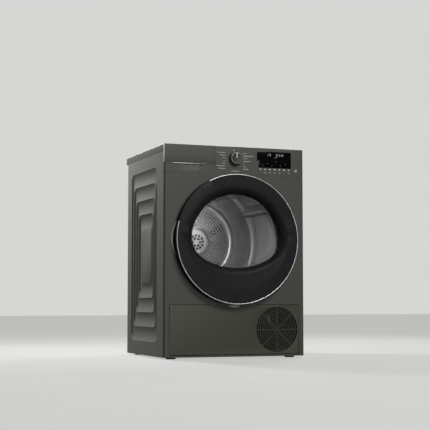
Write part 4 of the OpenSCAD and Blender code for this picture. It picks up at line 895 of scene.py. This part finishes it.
# Skin over a plan: each row has how far it stands in from the plan, and its height
def wrapSkin(mesh, plan, rows, dent=None, keep=None):
    grid = []
    for inset, z in rows:
        line = []
        for x, y, nx, ny in plan:
            deep = dent(x, z) if dent and ny < -0.99 else 0
            line.append(mesh.verts.new(((x - nx * inset) * mm, (y - ny * (inset + deep)) * mm,
                                        z * mm)))
        grid.append(line)
    for low, high, (_, z0), (_, z1) in zip(grid, grid[1:], rows, rows[1:]):
        for i in range(len(plan) - 1):
            if not keep or keep((plan[i][0] + plan[i + 1][0]) / 2, (z0 + z1) / 2):
                mesh.faces.new((low[i], low[i + 1], high[i + 1], high[i]))


# Depth of the finger scoop under the drawer's lip: it grows from the left to a slanted end
def scoopDepth(x, z):
    left, right, foot, high, depth = fascia["scoop"]
    grow, close, slant = fascia["scoopEnds"]
    end = right - slant * (foot + high - z)
    across = smoothShare((x - left) / grow) * smoothShare((end - x) / close)
    return depth * across * min(1, max(0, (z - foot) / high)) ** 1.3


# Carries the upper edge of a front back to the seam
def topReturn(mesh, z):
    lip = [edge for edge in mesh.edges if edge.is_boundary
           and min(v.co.z for v in edge.verts) > (z - 0.05) * mm
           and max(v.co.y for v in edge.verts) < (fascia["seam"] - 0.01) * mm]
    for vert in extruded(mesh, lip)[0]:
        vert.co.y = fascia["seam"] * mm


def makeFascia():
    f = fascia
    bayRight, bayLow = f["bay"]
    beforeBay, afterBay = f["columns"]
    first, pitch, count = f["scoopColumns"]
    columns = [first + pitch * i for i in range(count)] + [*beforeBay, bayRight, *afterBay]
    rows = [(inset, f["bottom"] + up) for inset, up in f["foot"]]
    first, pitch, count = f["scoopRows"]
    rows += [(0, first + pitch * i) for i in range(count)]
    rows += [(0, bayLow - 0.4), (0, bayLow), (0, f["middle"])]
    rows += [(inset, f["top"] - down) for inset, down in f["topEdge"]]
    mesh = bmesh.new()
    wrapSkin(mesh, frontPlan(-f["half"], f["half"], f["corner"], f["corner"], columns), rows,
             scoopDepth, lambda x, z: x > bayRight or z < bayLow)
    topReturn(mesh, f["top"])
    thicken(mesh, f["wall"])
    finishPiece("mouldedFascia", mesh, "graphitePlastic", "cabinet", ["control_panel"],
                sharp=35)


def makeDrawerFront():
    d, top, left = drawer, fascia["top"], -fascia["half"]
    rows = [(inset, d["low"] + up) for inset, up in d["foot"]] + [(0, fascia["middle"])]
    rows += [(inset, top - down) for inset, down in d["topEdge"]]
    mesh = bmesh.new()
    wrapSkin(mesh, frontPlan(left, d["right"], fascia["corner"], d["corner"], d["columns"]), rows)
    topReturn(mesh, rows[-1][1])
    thicken(mesh, d["wall"])
    piece = finishPiece("mouldedDrawerFront", mesh, "graphitePlastic", "tank_drawer",
                        ["tank_front"], sharp=35)
    # The left corner is painted near-white: a painted highlight where the gloss would catch the
    # light
    secondMaterial(piece, "paleCorner", lambda middle: middle.x < (d["pale"] + left) * mm)


# Strips below the drawer's front beside the lip; they leave with it, so the tank has room
def makeDrawerSkirts():
    for name, (left, right, leftRadius) in drawer["skirts"].items():
        mesh = bmesh.new()
        wrapSkin(mesh, frontPlan(left, right, leftRadius, 1, ()), drawer["skirtRows"])
        thicken(mesh, drawer["skirtWall"])
        finishPiece(name, mesh, "graphitePlastic", "tank_drawer")


makeFascia()
makeDrawerFront()
makeDrawerSkirts()
softBar("drawerBrightLip", *drawer["lip"], 0.5, "brightTrim", "tank_drawer",
        ["tank_handle_trim"], "bright_trim")
softBar("bandJointStrip", *jointStrip, 0.3, "graphitePlastic", "cabinet")


print("grip")

# A cup beside the door, bounded by a circle, whose lip is painted light as a painted highlight
grip = {
    "centre": -143.5, "radius": 127,
    "half": 15.2, "steps": 48,  # half its angle at the door, and the strips along it
    "wall": 0.5,
    # How far in from the circle, and depth
    "lip": ((0.3, -247.8), (1.2, -248.4), (3.5, -248.9), (5.5, -248.6), (7, -247.6), (8, -246)),
    "cup": ((7.6, -246.6), (8.6, -243.5), (9.8, -239), (11.4, -234.8), (14, -231.2), (20, -229.6)),
}


def makeGripStrip(name, profile, material):
    g = grip
    mesh = bmesh.new()
    grid = []
    for i in range(g["steps"] + 1):
        turn = g["half"] * (2 * i / g["steps"] - 1)
        edge = math.sqrt(g["radius"] ** 2 - (g["centre"] * sine(turn)) ** 2)
        edge -= g["centre"] * cosine(turn)
        grid.append([mesh.verts.new((-(edge - inset) * cosine(turn) * mm, y * mm,
                                     door["centre"].z + (edge - inset) * sine(turn) * mm))
                     for inset, y in profile])
    for one, two in zip(grid, grid[1:]):
        for k in range(len(profile) - 1):
            mesh.faces.new((one[k], two[k], two[k + 1], one[k + 1]))
    thicken(mesh, g["wall"])
    finishPiece(name, mesh, material, "cabinet", sharp=40)


# The lip's light colour is a painted highlight
makeGripStrip("gripLip", grip["lip"], "gripEdge")
makeGripStrip("gripCup", grip["cup"], "graphiteEnamel")


print("kick flap")

flap = {
    "x": 276.5, "z": (16.5, 212.5), "front": -248, "thick": 2.5,
    "corner": 3, "edge": 0.5,
    "notch": (31, 21, 10),  # half width at the edge and at the foot, and depth
    "grille": (180.6, 113, 90),  # centre and radius
    "overlap": 1,  # how far the grille reaches into the plate
    "rings": 11, "hub": 6,
    "slot": 0.58,  # share of the pitch that is open
    "outerGap": 1.3,
    "bars": 4, "bar": (1.8, 2.6), "barBack": 1.5,  # thickness, width and depth of each bar
}


def makeFlapPlate():
    f = flap
    low, high = f["z"]
    wide, narrow, deep = f["notch"]
    gx, gz, gr = f["grille"]
    mesh = bmesh.new()
    outline = [(-f["x"], low), (f["x"], low), (f["x"], high), (wide, high), (narrow, high - deep),
               (-narrow, high - deep), (-wide, high), (-f["x"], high)]
    verts = [mesh.verts.new((x * mm, f["front"] * mm, z * mm)) for x, z in outline]
    edges = [mesh.edges.new((verts[i], verts[i - 1])) for i in range(len(verts))]
    place = Matrix.Translation((gx * mm, f["front"] * mm, gz * mm))
    hole = bmesh.ops.create_circle(mesh, segments=96, radius=(gr - f["overlap"]) * mm,
                                   matrix=place @ Matrix.Rotation(math.radians(90), 4, "X"))
    edges += list({edge for vert in hole["verts"] for edge in vert.link_edges})
    bmesh.ops.triangle_fill(mesh, use_beauty=True, use_dissolve=False, edges=edges)
    bmesh.ops.recalc_face_normals(mesh, faces=mesh.faces)
    corners = [v for v in mesh.verts if abs(abs(v.co.x) - f["x"] * mm) < weld]
    soften(mesh, corners, f["corner"], 6, "VERTICES")
    border = [edge for edge in mesh.edges if edge.is_boundary]
    rim, _ = extruded(mesh, border)
    bmesh.ops.translate(mesh, verts=rim, vec=(0, f["thick"] * mm, 0))
    soften(mesh, border, f["edge"], 3)
    finishPiece("kickFlapPlate", mesh, "flapPlastic", "kick_flap", ["kick_flap"],
                sharp=35)


# The grille: round ribs on eight arms that lie a little deeper, made of four bars
def makeGrille():
    f = flap
    gx, gz, gr = f["grille"]
    centre = Vector((gx, 0, gz)) * mm
    front, back, edge = f["front"], f["front"] + f["thick"], f["edge"]
    pitch = (gr - f["outerGap"] - f["hub"]) / (f["rings"] - 1 + f["slot"])
    mesh = bmesh.new()
    for k in range(f["rings"]):
        r0 = max(f["hub"] + (k - 1 + f["slot"]) * pitch, 0.05)
        r1 = f["hub"] + k * pitch
        rib = [(r0, back), (r0, front + edge), (r0 + 0.4, front), (r1 - 0.4, front),
               (r1, front + edge), (r1, back)]
        spinProfile(mesh, centre, rib, 96 if k > 2 else 36, closed=True)
    thick, wide = f["bar"]
    for i in range(f["bars"]):
        addBlock(mesh, (centre.x, (front + f["barBack"]) * mm, centre.z),
                 (2 * (gr - f["overlap"]) * mm, thick * mm, wide * mm),
                 Matrix.Rotation(math.radians(180 / f["bars"] * i), 4, "Y"))
    finishPiece("kickFlapGrille", mesh, "flapPlastic", "kick_flap", (),
                sharp=35)


makeFlapPlate()
makeGrille()


print("top panel")

topPanel = {"corner": 6, "crown": 2.2, "sheet": 2.5}


def makeTopPanel():
    low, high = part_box("top_panel")
    size = high - low
    mesh = bmesh.new()
    addBlock(mesh, (high + low) / 2, size)
    upright = [e for e in mesh.edges if abs(e.verts[0].co.z - e.verts[1].co.z) > 0.5 * size.z]
    soften(mesh, upright, topPanel["corner"], 8)
    under = [f for f in mesh.faces if f.normal.z < -0.9]
    bmesh.ops.delete(mesh, geom=under, context="FACES")
    crown = [e for e in mesh.edges if min(v.co.z for v in e.verts) > high.z - 0.1 * mm]
    soften(mesh, crown, topPanel["crown"], 5)
    thicken(mesh, topPanel["sheet"])
    finishPiece("pressedTopPanel", mesh, "graphiteEnamel", "cabinet", ["top_panel"],
                sharp=35)


makeTopPanel()


print("display and marks")

display = {
    "x": (94, 245), "z": (766, 832.5), "front": -248.1, "rear": -246.7, "edge": 0.5,
    "digits": ((47, "1"), (58, "3"), (88, "0"), (101, "2"), (113, "0")),  # in from the left
    "digitLine": 13,  # middle of the digits below the top edge
    "digitHigh": 8,
    "colon": (94.5, 1.6, 1.2),  # in from the left, half its height, size of a dot
    "tally": (80, 3, 4, 10),  # first, pitch and count of small bars, and how far below
    # Each sign's place from the lower left corner, and its radius
    "signs": ((8, 26, 2.2), (27, 10, 2.2), (46, 19, 2.2), (66, 10, 2.4), (83, 27, 2.6),
              (104, 11, 2.4), (126, 18, 2.4)),
}

timeDigits = {"0": "abcdef", "1": "bc", "2": "abged", "3": "abgcd"}
inkThick = 0.1

# Plain rules in place of the printed names, as long as those are, and a ring or bar for each key
marks = {
    "proud": 0.03,  # how far the ink stands in front of the fascia
    "left": (36, 26, 13, 7, 15, 38, 30),
    "right": (15, 46, 19, 31, 7, 9, 25),
    "gap": (43, 34.5),  # from the knob's middle to the left and right names
    "pitch": 10.7, "top": 821,
    "second": (20, 0.4, 0.6, 2.4),  # longer names have a second line: its middle, length, drop
    "below": (0, 747.5, 34, 1.2),
    "power": (-6, 831, 2.6, 0.8), "powerBar": (-6, 832.6, 0.8, 3.0),
    "keys": (109.5, 20.9, 7),  # first, pitch and count
    "keyLine": 759.8, "nameLine": 746.5,
    "unnamed": (0, 5),
    "start": (5.2, 1.2), "startBar": (1.4, 4.2), "startProud": 0.08,
}


def inkBar(mesh, x, z, wide, high, y):
    addBlock(mesh, (x * mm, y * mm, z * mm), (wide * mm, inkThick * mm, high * mm))


def inkRing(mesh, x, z, radius, width, y):
    profile = [(radius - width, y), (radius, y), (radius, y + inkThick),
               (radius - width, y + inkThick)]
    spinProfile(mesh, Vector((x, 0, z)) * mm, profile, 20, closed=True)


# Seven strokes named as usual, from the top one clockwise
def inkDigit(mesh, x, z, high, code, y):
    wide, stroke = high * 0.5, high * 0.16
    strokes = {"a": (0, high / 2, wide, stroke), "d": (0, -high / 2, wide, stroke),
               "g": (0, 0, wide, stroke)}
    for letter, side, level in (("b", 1, 1), ("c", 1, -1), ("e", -1, -1), ("f", -1, 1)):
        strokes[letter] = (side * wide / 2, level * high / 4, stroke, high / 2)
    for letter in timeDigits[code]:
        dx, dz, w, h = strokes[letter]
        inkBar(mesh, x + dx, z + dz, w, h, y)


def makeDisplay():
    d = display
    (left, right), (low, high) = d["x"], d["z"]
    softBar("displayGlassPlate", (left, d["front"], low), (right, d["rear"], high), d["edge"],
            "displayBlack", "cabinet", ["display_window"], "display_black")
    y, top = d["front"] + 0.02, high - d["digitLine"]
    mesh = bmesh.new()
    for x, code in d["digits"]:
        inkDigit(mesh, left + x, top, d["digitHigh"], code, y)
    x, half, dot = d["colon"]
    for dz in (-half, half):
        inkBar(mesh, left + x, top + dz, dot, dot, y)
    first, pitch, count, below = d["tally"]
    for i in range(count):
        inkBar(mesh, left + first + pitch * i, top - below, 1.2, 2.0, y)
    for x, z, r in d["signs"]:
        inkRing(mesh, left + x, low + z, r, 1.3, y)
        inkBar(mesh, left + x, low + z, 1.6, 1.6, y)
    finishPiece("displaySymbols", mesh, "displayGlow", "cabinet")


def makeMarks():
    m = marks
    y = fascia["front"] - m["proud"]
    light, dim = bmesh.new(), bmesh.new()
    longer, middle, share, drop = m["second"]
    for side, start, lengths in ((-1, m["gap"][0], m["left"]), (1, m["gap"][1], m["right"])):
        for row, length in enumerate(lengths):
            z = m["top"] - row * m["pitch"]
            inkBar(light, side * (start + length / 2), z, length, 1.0, y)
            if length > longer:
                inkBar(dim, side * (start + length * middle), z - drop, length * share, 0.8, y)
    inkBar(light, *m["below"], y)
    inkRing(light, *m["power"], y)
    inkBar(light, *m["powerBar"], y)
    first, pitch, count = m["keys"]
    for i in range(count):
        x = first + pitch * i
        inkRing(light, x, m["keyLine"], 2.8, 1.0, y)
        inkBar(light, x, m["keyLine"], 10, 1.2, y)
        if i not in m["unnamed"]:
            inkBar(dim, x, m["nameLine"], 9, 2.0, y)
    finishPiece("panelMarksLight", light, "whiteInk", "cabinet")
    finishPiece("panelMarksDim", dim, "dimInk", "cabinet")
    key = bmesh.new()
    low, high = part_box("start_button")
    middle, y = (low + high) / 2 / mm, low.y / mm - m["startProud"]
    inkRing(key, middle.x, middle.z, *m["start"], y)
    inkBar(key, middle.x, middle.z, *m["startBar"], y)
    finishPiece("startButtonMark", key, "whiteInk", "start_button")


makeDisplay()
makeMarks()
